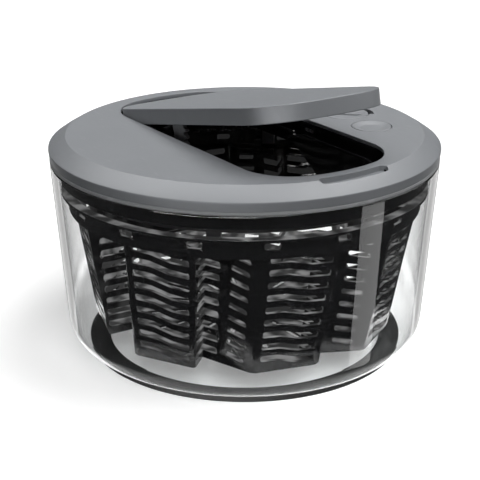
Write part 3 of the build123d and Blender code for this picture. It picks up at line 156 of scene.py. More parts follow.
class SpinnerSizes(bpy.types.PropertyGroup):
    """Sizes that the solids leave to the looks."""

    edge_round: bpy.props.FloatProperty(
        name="Edge rounding", description="Radius on the moulded edges that show",
        default=0.0007, unit="LENGTH")
    inner_round: bpy.props.FloatProperty(
        name="Inner edge rounding", description="Radius on the edges of the pieces inside the lid",
        default=0.00035, unit="LENGTH")
    tooth_round: bpy.props.FloatProperty(
        name="Tooth rounding", description="Radius on the gears, pins and springs",
        default=0.00012, unit="LENGTH")
    slot_round: bpy.props.FloatProperty(
        name="Slot end rounding", description="Radius on the ends of the basket's slots",
        default=0.0016, unit="LENGTH")
    slot_edge: bpy.props.FloatProperty(
        name="Slot edge rounding", description="Radius along the basket's slots",
        default=0.0004, unit="LENGTH")
    slot_wall: bpy.props.FloatProperty(
        name="Slot wall", description="Longest edge through the basket's wall",
        default=0.0042, unit="LENGTH")
    panel_round: bpy.props.FloatProperty(
        name="Panel rounding", description="Radius along the basket's panels",
        default=0.0020, unit="LENGTH")
    panel_height: bpy.props.FloatProperty(
        name="Panel height", description="Shortest edge that runs the height of a panel",
        default=0.06, unit="LENGTH")
    hem_radius: bpy.props.FloatProperty(
        name="Hem radius", description="Smallest radius of the outer edge of the basket's floor",
        default=0.08, unit="LENGTH")
    hem_height: bpy.props.FloatProperty(
        name="Hem height", description="How far above the basket's lowest point its outer edge is looked for",
        default=0.001, unit="LENGTH")
    collar_round: bpy.props.FloatProperty(
        name="Collar rounding", description="Radius on the collar round the lid's well",
        default=0.00115, unit="LENGTH")
    collar_level: bpy.props.FloatProperty(
        name="Collar level", description="Height of the collar's top",
        default=0.1403, unit="LENGTH")
    collar_slack: bpy.props.FloatProperty(
        name="Collar slack", description="How far from that height the collar's edges are looked for",
        default=0.0005, unit="LENGTH")
    rim_round: bpy.props.FloatProperty(
        name="Bowl rim rounding", description="Radius on the bowl's rim",
        default=0.0011, unit="LENGTH")
    bowl_wall: bpy.props.FloatProperty(
        name="Bowl wall", description="Thickness of the clear wall",
        default=0.003, unit="LENGTH")
    bowl_floor: bpy.props.FloatProperty(
        name="Bowl floor", description="Thickness of the clear floor",
        default=0.0035, unit="LENGTH")
    bowl_corner: bpy.props.FloatProperty(
        name="Bowl corner", description="Outer radius between the wall and the floor",
        default=0.020, unit="LENGTH")
    bowl_draft: bpy.props.FloatProperty(
        name="Bowl draft", description="Lean of the clear wall",
        default=radians(3.8), subtype="ANGLE")
    pivot_radius: bpy.props.FloatProperty(
        name="Pivot radius", description="Radius of the pivot in the bowl's floor",
        default=0.006, unit="LENGTH")
    pivot_level: bpy.props.FloatProperty(
        name="Pivot level", description="Height of the pivot's top",
        default=0.0145, unit="LENGTH")
    foot_width: bpy.props.FloatProperty(
        name="Foot width", description="Width of the foot ring's solid",
        default=0.007, unit="LENGTH")
    foot_rise: bpy.props.FloatProperty(
        name="Foot rise", description="How far the clear base is lifted to show the foot ring",
        default=0.002, unit="LENGTH")
    foot_gap: bpy.props.FloatProperty(
        name="Foot gap", description="Clearance round the foot ring",
        default=0.00005, unit="LENGTH")
    foot_inset: bpy.props.FloatProperty(
        name="Foot inset", description="How far the foot ring's lip stays inside the line of the bowl's wall",
        default=0.0125, unit="LENGTH")
    control_gap: bpy.props.FloatProperty(
        name="Control gap", description="Shadow gap added round the stop button and the knob",
        default=0.0003, unit="LENGTH")


class SpinnerColours(bpy.types.PropertyGroup):
    """Base colours of the finishes, in linear light."""

    lid_grey: bpy.props.FloatVectorProperty(
        name="Lid grey", description="Matte plastic of the lid, lever, button and knob",
        subtype="COLOR", size=3, min=0.0, max=1.0, default=(0.148, 0.155, 0.165))
    gloss_black: bpy.props.FloatVectorProperty(
        name="Gloss black", description="Polished plastic of the basket and the lid's underside",
        subtype="COLOR", size=3, min=0.0, max=1.0, default=(0.005, 0.005, 0.0055))
    satin_black: bpy.props.FloatVectorProperty(
        name="Satin black", description="Plain plastic inside the lid",
        subtype="COLOR", size=3, min=0.0, max=1.0, default=(0.014, 0.014, 0.015))
    clear_tint: bpy.props.FloatVectorProperty(
        name="Clear tint", description="Clear plastic of the bowl",
        subtype="COLOR", size=3, min=0.0, max=1.0, default=(0.985, 0.99, 0.99))
    acetal: bpy.props.FloatVectorProperty(
        name="Acetal", description="Natural plastic of the gears",
        subtype="COLOR", size=3, min=0.0, max=1.0, default=(0.72, 0.71, 0.66))
    seal_grey: bpy.props.FloatVectorProperty(
        name="Seal grey", description="Rubber of the lid's seal",
        subtype="COLOR", size=3, min=0.0, max=1.0, default=(0.20, 0.205, 0.21))
    rubber_black: bpy.props.FloatVectorProperty(
        name="Rubber black", description="Rubber of the foot, pad and stops",
        subtype="COLOR", size=3, min=0.0, max=1.0, default=(0.012, 0.012, 0.012))
    steel: bpy.props.FloatVectorProperty(
        name="Steel", description="Pins, springs, rollers and bolt",
        subtype="COLOR", size=3, min=0.0, max=1.0, default=(0.62, 0.62, 0.63))
    floor: bpy.props.FloatVectorProperty(
        name="Floor", description="Pale studio floor",
        subtype="COLOR", size=3, min=0.0, max=1.0, default=(0.93, 0.93, 0.93))


class Wire:
    """A value in a material, whose arithmetic adds Math nodes."""

    def __init__(self, paint, socket):
        self.paint = paint
        self.socket = socket

    def __add__(self, other):
        return self.paint.math("ADD", self, other)

    __radd__ = __add__

    def __sub__(self, other):
        return self.paint.math("SUBTRACT", self, other)

    def __rsub__(self, other):
        return self.paint.math("SUBTRACT", other, self)

    def __mul__(self, other):
        return self.paint.math("MULTIPLY", self, other)

    __rmul__ = __mul__


class Wiring:
    """A node tree that is filled step by step."""

    def __init__(self, tree):
        self.tree = tree

    def node(self, kind, settings=None, sockets=None):
        """A new node: its settings are set first, then its sockets are fed."""
        made = self.tree.nodes.new(kind)
        for key, value in (settings or {}).items():
            setattr(made, key, value)
        for key, value in (sockets or {}).items():
            self.feed(made.inputs[key], value)
        return made

    def feed(self, socket, value):
        """Links a socket to a wire or an output, or sets its value."""
        if isinstance(value, Wire):
            self.tree.links.new(value.socket, socket)
        elif isinstance(value, bpy.types.NodeSocket):
            self.tree.links.new(value, socket)
        else:
            socket.default_value = value

    def wire(self, kind, output, settings=None, sockets=None):
        """One output of a new node."""
        return Wire(self, self.node(kind, settings, sockets).outputs[output])

    def math(self, operation, first, second):
        """A Math node on two values."""
        return self.wire("ShaderNodeMath", 0, {"operation": operation}, {0: first, 1: second})

    def band(self, value, low, high):
        """A smooth rise from 0 to 1 as the value goes from low to high."""
        sockets = {"Value": value, "From Min": low, "From Max": high}
        return self.wire("ShaderNodeMapRange", 0, {"interpolation_type": "SMOOTHSTEP"}, sockets)


class Paint(Wiring):
    """One material: its nodes, and the Principled shader that they feed."""

    def __init__(self, name):
        self.material = bpy.data.materials.new(name)
        self.material.use_nodes = True
        super().__init__(self.material.node_tree)
        self.shader = self.tree.nodes["Principled BSDF"]
        self.output = self.tree.nodes["Material Output"]

    def place(self, stretch=(1.0, 1.0, 1.0)):
        """Object coordinates, in metres, stretched along the axes."""
        spot = self.node("ShaderNodeTexCoord").outputs["Object"]
        return self.wire("ShaderNodeMapping", 0, None, {"Vector": spot, "Scale": stretch})

    def along(self, axis):
        """How far a point is along an axis, in metres."""
        sockets = {0: self.place(), 1: tuple(axis)}
        return self.wire("ShaderNodeVectorMath", "Value", {"operation": "DOT_PRODUCT"}, sockets)

    def noise(self, size, detail=2.0, stretch=(1.0, 1.0, 1.0)):
        """Even noise whose patches are about the given size in metres."""
        sockets = {"Vector": self.place(stretch), "Scale": 1 / size, "Detail": detail}
        return self.wire("ShaderNodeTexNoise", "Fac", None, sockets)

    def painted_glow_mask(self):
        """Mask of the painted glow: 1 on faces that look inwards or up, where they are seen through a clear
        wall.
        """
        spot = self.wire("ShaderNodeTexCoord", "Object")
        world_normal = self.wire("ShaderNodeNewGeometry", "True Normal")
        turned = {"vector_type": "NORMAL", "convert_from": "WORLD", "convert_to": "OBJECT"}
        normal = self.wire("ShaderNodeVectorTransform", 0, turned, {0: world_normal})
        flat = self.wire("ShaderNodeVectorMath", 0, {"operation": "MULTIPLY"}, {0: spot, 1: (1, 1, 0)})
        facing = {0: flat, 1: normal}
        outwards = self.wire("ShaderNodeVectorMath", "Value", {"operation": "DOT_PRODUCT"}, facing)
        upwards = self.wire("ShaderNodeSeparateXYZ", "Z", None, {0: normal})
        walls = self.wire("ShaderNodeLightPath", "Transmission Depth") * (1 / WALL_CROSSINGS)
        faces = self.band(outwards, *FACING_IN) + self.band(upwards, *FACING_UP)
        return self.math("MINIMUM", walls, 1.0) * self.math("MINIMUM", faces, 1.0)

    def blend(self, share, first, second):
        """A colour between two colours."""
        sockets = {0: share, 6: (*first, 1.0), 7: (*second, 1.0)}
        return self.wire("ShaderNodeMix", 2, {"data_type": "RGBA"}, sockets)

    def relief(self, height, depth, strength=1.0):
        """Bump of the given depth in metres."""
        sockets = {"Height": height, "Distance": depth, "Strength": strength}
        self.set("Normal", self.wire("ShaderNodeBump", 0, None, sockets))

    def set(self, name, value):
        """Feeds one input of the shader."""
        if isinstance(value, tuple) and len(value) == 3:
            value = (*value, 1.0)
        self.feed(self.shader.inputs[name], value)

    def swap(self, factor, other):
        """Shows another shader where the factor is 1."""
        mixed = self.node("ShaderNodeMixShader", None, {0: factor, 1: self.shader.outputs[0], 2: other})
        self.tree.links.new(mixed.outputs[0], self.output.inputs["Surface"])


class Sky(Wiring):
    """The world's background, bright in patches."""

    def __init__(self, name):
        self.world = bpy.data.worlds.new(name)
        self.world.use_nodes = True
        super().__init__(self.world.node_tree)
        self.background = self.tree.nodes["Background"]
        self.direction = self.node("ShaderNodeTexCoord").outputs["Generated"]

    def along(self, axis):
        """How far a ray points along an axis."""
        sockets = {0: self.direction, 1: tuple(axis)}
        return self.wire("ShaderNodeVectorMath", "Value", {"operation": "DOT_PRODUCT"}, sockets)

    def card(self, turn, height, half_width, half_height, soft):
        """1 inside an upright card that faces the spinner, with soft edges."""
        centre = around(turn, height, 1.0)
        side = around(turn + 90.0, 0.0, 1.0)
        across = self.math("ABSOLUTE", self.along(side), 0.0)
        upwards = self.math("ABSOLUTE", self.along(centre.cross(side)), 0.0)
        in_width = self.band(across, half_width + soft, half_width)
        in_height = self.band(upwards, half_height + soft, half_height)
        return in_width * in_height * self.band(self.along(centre), *CARD_FRONT)


def shade(colour, factor):
    """A colour made darker or lighter."""
    return tuple(min(1.0, channel * factor) for channel in colour)


def grey_plastic(colour):
    """Matte moulded plastic with a fine spark-eroded grain and faint handling marks."""
    paint = Paint("look_grey_plastic")
    grain = paint.noise(0.00045, detail=3.0)
    cloud = paint.noise(0.045, detail=3.0)
    rub = paint.band(paint.noise(0.012, detail=5.0, stretch=(1.0, 3.0, 1.0)), 0.56, 0.78)
    paint.set("Base Color", paint.blend(cloud * 0.7 + grain * 0.3, shade(colour, 0.9), shade(colour, 1.1)))
    paint.set("Roughness", 0.44 + grain * 0.1 - rub * 0.06)
    paint.relief(grain, depth=0.00003, strength=0.5)
    return paint.material


def gloss_black(colour):
    """Polished black plastic with slight flow waves and hairline wear, and a painted glow on faces that look
    inwards or up behind a clear wall.
    """
    paint = Paint("look_black_gloss")
    flow = paint.noise(0.018, detail=2.0)
    hair = paint.noise(0.0012, detail=2.0, stretch=(1.0, 1.0, 14.0))
    wear = paint.band(hair, 0.58, 0.75)
    paint.set("Base Color", paint.blend(flow, shade(colour, 0.8), shade(colour, 1.3)))
    paint.set("Roughness", 0.06 + flow * 0.04 + wear * 0.03)
    # Painted light: faces inside the basket glow where seen through the bowl, evenly and with painted glints
    # in patches
    patches = paint.band(paint.noise(0.013, detail=1.0), 0.4, 0.7)
    paint.set("Emission Color", paint.painted_glow_mask() * (SLOT_PAINTED_GLOW + SLOT_PAINTED_GLINT * patches))
    paint.set("Emission Strength", 1.0)
    paint.relief(flow, depth=0.00008, strength=0.2)
    return paint.material


def satin_black(colour):
    """Plain black plastic with a fine grain."""
    paint = Paint("look_black_plastic")
    grain = paint.noise(0.0006, detail=3.0)
    cloud = paint.noise(0.03, detail=2.0)
    paint.set("Base Color", paint.blend(cloud, shade(colour, 0.8), shade(colour, 1.25)))
    paint.set("Roughness", 0.3 + grain * 0.12)
    paint.relief(grain, depth=0.00003, strength=0.35)
    return paint.material


def clear_plastic(colour):
    """Clear styrene, with faint scuffs; shadow rays pass straight through."""
    paint = Paint("look_clear_plastic")
    scuff = paint.band(paint.noise(0.004, detail=6.0, stretch=(1.0, 1.0, 0.4)), 0.62, 0.8)
    paint.set("Base Color", colour)
    paint.set("Roughness", scuff * 0.012)
    paint.shader.inputs["IOR"].default_value = CLEAR_IOR
    paint.shader.inputs["Transmission Weight"].default_value = 1.0
    through = paint.node("ShaderNodeBsdfTransparent", None, {"Color": SHADOW_TINT})
    paint.swap(paint.node("ShaderNodeLightPath").outputs["Is Shadow Ray"], through.outputs[0])
    return paint.material


def acetal(colour):
    """Waxy natural plastic of the gears, with a tone that varies in patches."""
    paint = Paint("look_white_plastic")
    cloud = paint.noise(0.008, detail=3.0)
    grain = paint.noise(0.0005, detail=2.0)
    paint.set("Base Color", paint.blend(cloud, shade(colour, 0.9), shade(colour, 1.06)))
    paint.set("Roughness", 0.32 + grain * 0.12)
    paint.relief(grain, depth=0.00002, strength=0.3)
    return paint.material


def rubber(name, colour):
    """Soft rubber with a dusty, fine grain."""
    paint = Paint(name)
    grain = paint.noise(0.0004, detail=3.0)
    dust = paint.band(paint.noise(0.01, detail=4.0), 0.5, 0.75)
    paint.set("Base Color", paint.blend(dust * 0.5, colour, shade(colour, 1.5)))
    paint.set("Roughness", 0.55 + grain * 0.2)
    paint.relief(grain, depth=0.00005, strength=0.5)
    return paint.material


def steel(colour):
    """Drawn steel with fine lines along its length."""
    paint = Paint("look_steel")
    lines = paint.noise(0.0004, detail=3.0, stretch=(1.0, 0.1, 1.0))
    paint.set("Base Color", paint.blend(lines, shade(colour, 0.85), shade(colour, 1.1)))
    paint.set("Roughness", 0.2 + lines * 0.16)
    paint.set("Metallic", 1.0)
    paint.relief(lines, depth=0.00002, strength=0.3)
    return paint.material


def pale_floor(colour):
    """Seamless studio paper, white to the camera; dark paper paints dark reflections where the spinner would
    mirror it, paints shade behind the basket seen through one clear wall, and holds back bounced light.
    """
    paint = Paint("floor")
    fibre = paint.noise(0.004, detail=3.0)
    paint.set("Base Color", paint.blend(fibre, shade(colour, 0.995), shade(colour, 1.0)))
    paint.set("Roughness", 0.9)
    paint.shader.inputs["Specular IOR Level"].default_value = 0.0
    path = paint.node("ShaderNodeLightPath")
    seen = Wire(paint, path.outputs["Is Camera Ray"]) + Wire(paint, path.outputs["Is Transmission Ray"])
    paint.set("Emission Color", paint.math("MINIMUM", seen, 1.0))
    paint.set("Emission Strength", FLOOR_LIFT)
    # Dark paper, used for painted dark reflections, painted shade behind the basket and held-back bounce
    # light
    painted_dark_paper = paint.node("ShaderNodeBsdfDiffuse", None, {"Color": PAINTED_DARK_GREY})
    mirrored = paint.math("MINIMUM", Wire(paint, path.outputs["Glossy Depth"]), 1.0)
    bounced = Wire(paint, path.outputs["Is Diffuse Ray"]) * FLOOR_HUSH
    reach = paint.wire("ShaderNodeVectorMath", "Value", {"operation": "LENGTH"}, {0: paint.place()})
    aside = paint.math("ABSOLUTE", paint.along(around(CAMERA_TURN + 90.0, 0.0, 1.0)), 0.0)
    behind = paint.along(around(CAMERA_TURN + 180.0, 0.0, 1.0))
    walls = Wire(paint, path.outputs["Transmission Depth"])
    one_wall = paint.band(paint.math("ABSOLUTE", walls - WALL_CROSSINGS, 0.0), 0.5, 0.4)
    # Painted shade: dark paper behind the basket, where it is seen through one clear wall
    painted_shade_backdrop = one_wall * paint.band(aside, *PAINTED_SHADE_ASIDE) * paint.band(behind, *PAINTED_SHADE_BEHIND)
    # Painted reflection: dark paper beyond the bowl's ring, for paths that have been mirrored
    dark = paint.math("MAXIMUM", painted_shade_backdrop, mirrored * paint.band(reach, *DARK_REFLECTION_RING))
    paint.swap(paint.math("MAXIMUM", bounced, dark), painted_dark_paper.outputs[0])
    return paint.material


def finishes():
    """What makes each finish, by the record's slot names."""
    colours = bpy.context.scene.spinner_colours
    return {
        "grey_plastic": lambda: grey_plastic(tuple(colours.lid_grey)),
        "black_gloss": lambda: gloss_black(tuple(colours.gloss_black)),
        "black_plastic": lambda: satin_black(tuple(colours.satin_black)),
        "clear_plastic": lambda: clear_plastic(tuple(colours.clear_tint)),
        "white_plastic": lambda: acetal(tuple(colours.acetal)),
        "grey_rubber": lambda: rubber("look_grey_rubber", tuple(colours.seal_grey)),
        "black_rubber": lambda: rubber("look_black_rubber", tuple(colours.rubber_black)),
        "steel": lambda: steel(tuple(colours.steel)),
    }


def finish_for(slot):
    """The finish of a slot, made the first time it is asked for."""
    return bpy.data.materials.get("look_" + slot) or finishes()[slot]()


def slot_of(node):
    return next(row["material_slot"] for row in frame["record"]["subparts"] if row["node"] == node)


def body_of(node):
    bodies = frame["record"]["behaviour"]["bodies"]
    return next(body for body, members in bodies.items() if node in members)


def piece(shape, node, smooth=SHADE_TURN):
    """Turns a bmesh into a piece that stands for a solid and rides on its body."""
    mesh = bpy.data.meshes.new(node + "_piece")
    shape.to_mesh(mesh)
    shape.free()
    mesh.shade_smooth()
    mesh.set_sharp_from_angle(angle=radians(smooth))
    made = bpy.data.objects.new(node + "_piece", mesh)
    bpy.context.scene.collection.objects.link(made)
    made.data.materials.append(finish_for(slot_of(node)))
    weights = made.modifiers.new("even_shading", "WEIGHTED_NORMAL")
    weights.keep_sharp = True
    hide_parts(node)
    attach(made, body_of(node))
    return made


def welded(node):
    """A bmesh copy of a solid, with its faces joined along their edges."""
    shape = bmesh.new()
    shape.from_mesh(frame["nodes"][node].data)
    bmesh.ops.remove_doubles(shape, verts=shape.verts, dist=WELD)
    return shape


def turn_of(edge):
    """The turn between an edge's two faces, in degrees."""
    return degrees(edge.calc_face_angle(0.0)) if edge.is_manifold else 0.0


def round_over(shape, edges, radius, segments=EDGE_SEGMENTS):
    """Rounds edges over in place."""
    bmesh.ops.bevel(
        shape, geom=edges, offset=radius, offset_type="OFFSET", segments=segments, profile=0.5,
        affect="EDGES", clamp_overlap=False, material=-1)


def softened(node, radius, sharp=SHARP_TURN, segments=EDGE_SEGMENTS):
    """A copy of a solid with every sharp edge rounded over."""
    shape = welded(node)
    edges = [edge for edge in shape.edges if turn_of(edge) > sharp]
    round_over(shape, edges, radius, segments)
    return shape


def arc(centre, radius, start, end, steps):
    """Points of a round stretch in a section, with its angles in degrees."""
    angles = [radians(start + (end - start) * step / steps) for step in range(steps + 1)]
    return [(centre[0] + radius * cos(angle), centre[1] + radius * sin(angle)) for angle in angles]


def spun(section):
    """A section in the XZ plane, closed or open at the axis, turned once round the axis."""
    shape = bmesh.new()
    verts = [shape.verts.new((radius, 0.0, level)) for radius, level in section]
    edges = [shape.edges.new(pair) for pair in zip(verts, verts[1:])]
    bmesh.ops.spin(
        shape, geom=verts + edges, cent=(0, 0, 0), axis=(0, 0, 1), angle=2 * pi, steps=ROUND_STEPS,
        use_merge=True, use_duplicate=False)
    bmesh.ops.remove_doubles(shape, verts=shape.verts, dist=WELD)
    bmesh.ops.dissolve_degenerate(shape, edges=shape.edges, dist=WELD)
    bmesh.ops.recalc_face_normals(shape, faces=shape.faces)
    return shape


def bowl_base(sizes):
    """The level of the bowl's underside, lifted so that the foot ring shows."""
    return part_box("bowl")[0][2] + sizes.foot_rise


def bowl_foot(sizes):
    """The radius at which the line of the bowl's wall meets its underside."""
    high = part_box("bowl")[1]
    return high[0] - (high[2] - bowl_base(sizes)) * tan(sizes.bowl_draft)


def corner_centre(sizes, edge, level, radius):
    """The centre of a round corner between the floor at a level and a wall that would meet it at an edge."""
    return edge - radius * tan((pi / 2 - sizes.bowl_draft) / 2), level + radius


def foot_section(sizes):
    """Closed section of the foot ring, whose lip reaches out under the bowl's corner."""
    foot = bowl_foot(sizes)
    centre = corner_centre(sizes, foot, bowl_base(sizes), sizes.bowl_corner)
    seat = sizes.bowl_corner + sizes.foot_gap
    reach = foot - sizes.foot_inset
    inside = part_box("foot_ring")[1][0] - sizes.foot_width
    edge = sizes.edge_round
    section = arc(centre, seat, -degrees(acos((reach - centre[0]) / seat)), -90.0, SEAT_STEPS)
    section += [(inside, section[-1][1]), (inside, 0.0)]
    section += arc((reach - edge, edge), edge, -90.0, 0.0, SMALL_STEPS)
    return section + section[:1]


def bowl_section(sizes):
    """Half of the bowl's section: base, round corner, drafted wall, round lip, floor and pivot."""
    low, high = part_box("bowl")
    rim = high[0]
    base = bowl_base(sizes)
    top = high[2]
    floor = low[2] + sizes.bowl_floor
    lip = sizes.rim_round
    outer = sizes.bowl_corner
    inner = sizes.bowl_corner - sizes.bowl_wall
    draft = degrees(sizes.bowl_draft)
    foot = bowl_foot(sizes)
    outer_centre = corner_centre(sizes, foot, base, outer)
    floor_edge = foot - sizes.bowl_wall + (floor - base) * tan(sizes.bowl_draft)
    inner_centre = corner_centre(sizes, floor_edge, floor, inner)
    pivot_top = sizes.pivot_level
    section = [(0.0, base)]
    section += arc(outer_centre, outer, -90.0, -draft, CORNER_STEPS)
    section += arc((rim - lip, top - lip), lip, -draft, 90.0, LIP_STEPS)
    section += arc((rim - sizes.bowl_wall + lip, top - lip), lip, 90.0, 180.0 - draft, LIP_STEPS)
    section += arc(inner_centre, inner, -draft, -90.0, INNER_CORNER_STEPS)
    section += arc((sizes.pivot_radius + lip, floor + lip), lip, -90.0, -180.0, SMALL_STEPS)
    section += arc((sizes.pivot_radius - lip, pivot_top - lip), lip, 0.0, 90.0, SMALL_STEPS)
    section.append((0.0, pivot_top))
    return section


class SPINNER_OT_bowl(bpy.types.Operator):
    """Make the clear bowl and its foot ring"""

    bl_idname = "spinner.bowl"
    bl_label = "Bowl"

    def execute(self, context):
        sizes = context.scene.spinner_sizes
        piece(spun(bowl_section(sizes)), "bowl")
        piece(spun(foot_section(sizes)), "foot_ring")
        return {"FINISHED"}


def is_hem(edge, low, sizes):
    """Whether an edge runs round the outside of the basket's floor."""
    places = [vert.co for vert in edge.verts]
    return all(place.z < low + sizes.hem_height and place.xy.length > sizes.hem_radius for place in places)


def slotted_basket(sizes):
    """The basket with round slot ends, round panel corners and rolled slot edges."""
    shape = welded("basket")
    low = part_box("basket")[0].z
    walls = [edge for edge in shape.edges if edge.calc_length() < sizes.slot_wall and not edge.is_convex]
    slot_ends = [edge for edge in walls if turn_of(edge) > SLOT_TURN]
    round_over(shape, slot_ends, sizes.slot_round, ROUND_SEGMENTS)
    outer = [edge for edge in shape.edges if edge.is_convex and turn_of(edge) > PANEL_TURN]
    corners = [edge for edge in outer if edge.calc_length() > sizes.panel_height]
    hem = [edge for edge in outer if is_hem(edge, low, sizes)]
    round_over(shape, corners + hem, sizes.panel_round, ROUND_SEGMENTS)
    sharp = [edge for edge in shape.edges if turn_of(edge) > PANEL_TURN]
    round_over(shape, sharp, sizes.slot_edge)
    return shape


class SPINNER_OT_basket(bpy.types.Operator):
    """Make the slotted basket and its pivot cup"""

    bl_idname = "spinner.basket"
    bl_label = "Basket"

    def execute(self, context):
        sizes = context.scene.spinner_sizes
        piece(slotted_basket(sizes), "basket")
        piece(softened("pivot_cup", sizes.tooth_round), "pivot_cup")
        return {"FINISHED"}


def is_collar(edge, sizes):
    """Whether an edge runs along the top of the collar round the lid's well."""
    return all(abs(vert.co.z - sizes.collar_level) < sizes.collar_slack for vert in edge.verts)


def collared_base(sizes):
    """The lid's underside, with a full round on the collar of its well."""
    shape = welded("lid_base")
    collar = [edge for edge in shape.edges if turn_of(edge) > SHARP_TURN and is_collar(edge, sizes)]
    round_over(shape, collar, sizes.collar_round, ROUND_SEGMENTS)
    rest = [edge for edge in shape.edges if turn_of(edge) > SHARP_TURN]
    round_over(shape, rest, sizes.inner_round)
    return shape


class SPINNER_OT_lid(bpy.types.Operator):
    """Make the lid's cover, underside and seal, its inner covers and the ring's retainer"""

    bl_idname = "spinner.lid"
    bl_label = "Lid"

    def execute(self, context):
        sizes = context.scene.spinner_sizes
        piece(softened("lid_cover", sizes.inner_round, CREASE_TURN), "lid_cover", LID_SHADE_TURN)
        piece(collared_base(sizes), "lid_base")
        for node in ("lid_seal", "gear_cover", "latch_cover", "ring_retainer"):
            piece(softened(node, sizes.inner_round), node)
        return {"FINISHED"}


class SPINNER_OT_lever(bpy.types.Operator):
    """Make the lever, its frame, stops and hinge pin"""

    bl_idname = "spinner.lever"
    bl_label = "Lever"

    def execute(self, context):
        sizes = context.scene.spinner_sizes
        piece(softened("lever_cover", sizes.edge_round, segments=LEVER_SEGMENTS), "lever_cover")
        for node in ("lever_frame", "lever_stops", "hinge_pin"):
            piece(softened(node, sizes.inner_round), node)
        return {"FINISHED"}


def drawn_in(shape, node, gap):
    """A round control, made narrower by a gap all round."""
    low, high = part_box(node)
    middle = (low + high) / 2
    share = 1.0 - 2 * gap / (high.x - low.x)
    bmesh.ops.scale(shape, vec=(share, share, 1.0), space=Matrix.Translation(-middle), verts=shape.verts)
    return shape


class SPINNER_OT_controls(bpy.types.Operator):
    """Make the stop button, its brake and the lever's lock"""

    bl_idname = "spinner.controls"
    bl_label = "Button and lock"

    def execute(self, context):
        sizes = context.scene.spinner_sizes
        for node in ("brake_button", "lock_knob"):
            piece(drawn_in(softened(node, sizes.inner_round), node, sizes.control_gap), node)
        for node in ("brake_arm", "brake_pad", "lock_bolt"):
            piece(softened(node, sizes.inner_round), node)
        return {"FINISHED"}


class SPINNER_OT_gears(bpy.types.Operator):
    """Make the gear train, the drive ring and their pins"""

    bl_idname = "spinner.gears"
    bl_label = "Gear train"

    def execute(self, context):
        sizes = context.scene.spinner_sizes
        for node in (
            "drive_ring", "ring_pinion", "crown_gear", "step_gear", "clutch_gear", "clutch_rollers",
            "drive_sector", "crown_gear_pin", "step_gear_pin", "clutch_pin",
        ):
            piece(softened(node, sizes.tooth_round), node)
        return {"FINISHED"}


class SPINNER_OT_springs(bpy.types.Operator):
    """Make the leaf springs, each with a mesh of its own"""

    bl_idname = "spinner.springs"
    bl_label = "Springs"

    def execute(self, context):
        sizes = context.scene.spinner_sizes
        for node, joint, keep in SPRINGS:
            leaf = piece(softened(node, sizes.tooth_round), node)
            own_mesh(leaf)
        return {"FINISHED"}


class SPINNER_OT_stage(bpy.types.Operator):
    """Make the floor, the studio light and the camera"""

    bl_idname = "spinner.stage"
    bl_label = "Stage"

    def execute(self, context):
        scene = context.scene
        shape = bmesh.new()
        bmesh.ops.create_grid(shape, x_segments=1, y_segments=1, size=FLOOR_SIZE)
        mesh = bpy.data.meshes.new("floor")
        shape.to_mesh(mesh)
        shape.free()
        floor = bpy.data.objects.new("floor", mesh)
        floor.data.materials.append(pale_floor(tuple(scene.spinner_colours.floor)))
        scene.collection.objects.link(floor)
        floor.visible_glossy = False
        make_world(scene)
        for row in SUNS:
            make_sun(scene, *row)
        make_camera(scene)
        scene.view_settings.view_transform = "Standard"
        return {"FINISHED"}


def make_world(scene):
    """White to the camera, soft light on dull faces, and darkness with a few cards in the gloss."""
    sky = Sky("studio")
    cards = GLOSS_BASE
    for turn, height, half_width, half_height, soft, strength in CARDS:
        cards = cards + sky.card(CAMERA_TURN + turn, height, half_width, half_height, soft) * strength
    path = sky.node("ShaderNodeLightPath")
    mirrored = sky.math("MINIMUM", Wire(sky, path.outputs["Glossy Depth"]), 1.0)
    seen = Wire(sky, path.outputs["Is Camera Ray"]) + Wire(sky, path.outputs["Is Transmission Ray"])
    sky_light = AMBIENT + AMBIENT * SIDE_SHARE * sky.along(around(CAMERA_TURN + 90.0, 0.0, 1.0))
    level = sky_light + mirrored * (cards - sky_light) + seen * (1.0 - mirrored) * (1.0 - sky_light)
    sky.feed(sky.background.inputs["Color"], (1.0, 1.0, 1.0, 1.0))
    sky.feed(sky.background.inputs["Strength"], level)
    scene.world = sky.world


def make_sun(scene, name, turn, height, spread, strength):
    """One soft sun, aimed at the spinner."""
    light = bpy.data.lights.new(name, "SUN")
    light.angle = radians(spread)
    light.energy = strength
    lamp = bpy.data.objects.new(name, light)
    lamp.location = around(CAMERA_TURN + turn, height, LAMP_REACH)
    lamp.rotation_mode = "QUATERNION"
    lamp.rotation_quaternion = (-lamp.location).to_track_quat("-Z", "Y")
    scene.collection.objects.link(lamp)


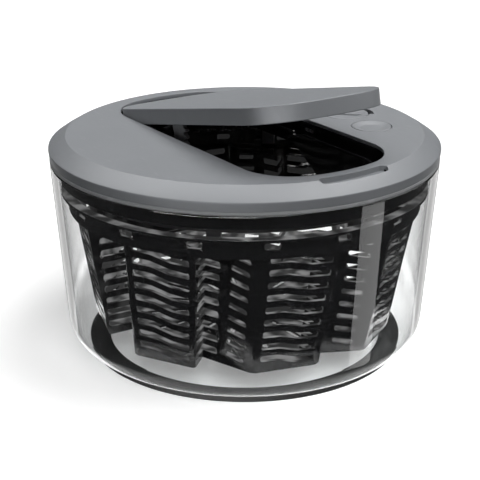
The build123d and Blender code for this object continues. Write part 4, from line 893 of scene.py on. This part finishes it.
def make_camera(scene):
    """The camera, at the photograph's place, tilt and view."""
    lens = bpy.data.cameras.new("camera")
    lens.sensor_width = 36.0
    lens.lens = lens.sensor_width / 2 / tan(radians(CAMERA_VIEW / 2))
    lens.shift_x = -AXIS_SHIFT
    camera = bpy.data.objects.new("camera", lens)
    place = around(CAMERA_TURN, 0.0, CAMERA_REACH)
    place.z = CAMERA_LEVEL
    camera.location = place
    towards = Vector((-place.x, -place.y, 0.0)).normalized() * cos(radians(CAMERA_PITCH))
    towards.z = -sin(radians(CAMERA_PITCH))
    camera.rotation_mode = "QUATERNION"
    camera.rotation_quaternion = towards.to_track_quat("-Z", "Y")
    scene.collection.objects.link(camera)
    scene.camera = camera


class SPINNER_PT_panel(bpy.types.Panel):
    """Sizes, colours and pieces of the salad spinner"""

    bl_label = "Salad Spinner"
    bl_idname = "SPINNER_PT_panel"
    bl_space_type = "VIEW_3D"
    bl_region_type = "UI"
    bl_category = "Spinner"

    def draw(self, context):
        layout = self.layout
        for group in (context.scene.spinner_sizes, context.scene.spinner_colours):
            column = layout.column()
            for name in group.__annotations__:
                column.prop(group, name)
        for operator in OPERATORS:
            layout.operator(operator.bl_idname)


OPERATORS = (
    SPINNER_OT_bowl,
    SPINNER_OT_basket,
    SPINNER_OT_lid,
    SPINNER_OT_lever,
    SPINNER_OT_controls,
    SPINNER_OT_gears,
    SPINNER_OT_springs,
    SPINNER_OT_stage,
)
CLASSES = (SpinnerSizes, SpinnerColours, *OPERATORS, SPINNER_PT_panel)


def register():
    for item in CLASSES:
        bpy.utils.register_class(item)
    bpy.types.Scene.spinner_sizes = bpy.props.PointerProperty(type=SpinnerSizes)
    bpy.types.Scene.spinner_colours = bpy.props.PointerProperty(type=SpinnerColours)


def unregister():
    del bpy.types.Scene.spinner_colours
    del bpy.types.Scene.spinner_sizes
    for item in reversed(CLASSES):
        bpy.utils.unregister_class(item)


def main():
    register()
    bpy.ops.spinner.bowl()
    bpy.ops.spinner.basket()
    bpy.ops.spinner.lid()
    bpy.ops.spinner.lever()
    bpy.ops.spinner.controls()
    bpy.ops.spinner.gears()
    bpy.ops.spinner.springs()
    bpy.ops.spinner.stage()


if __name__ == "__main__":
    main()
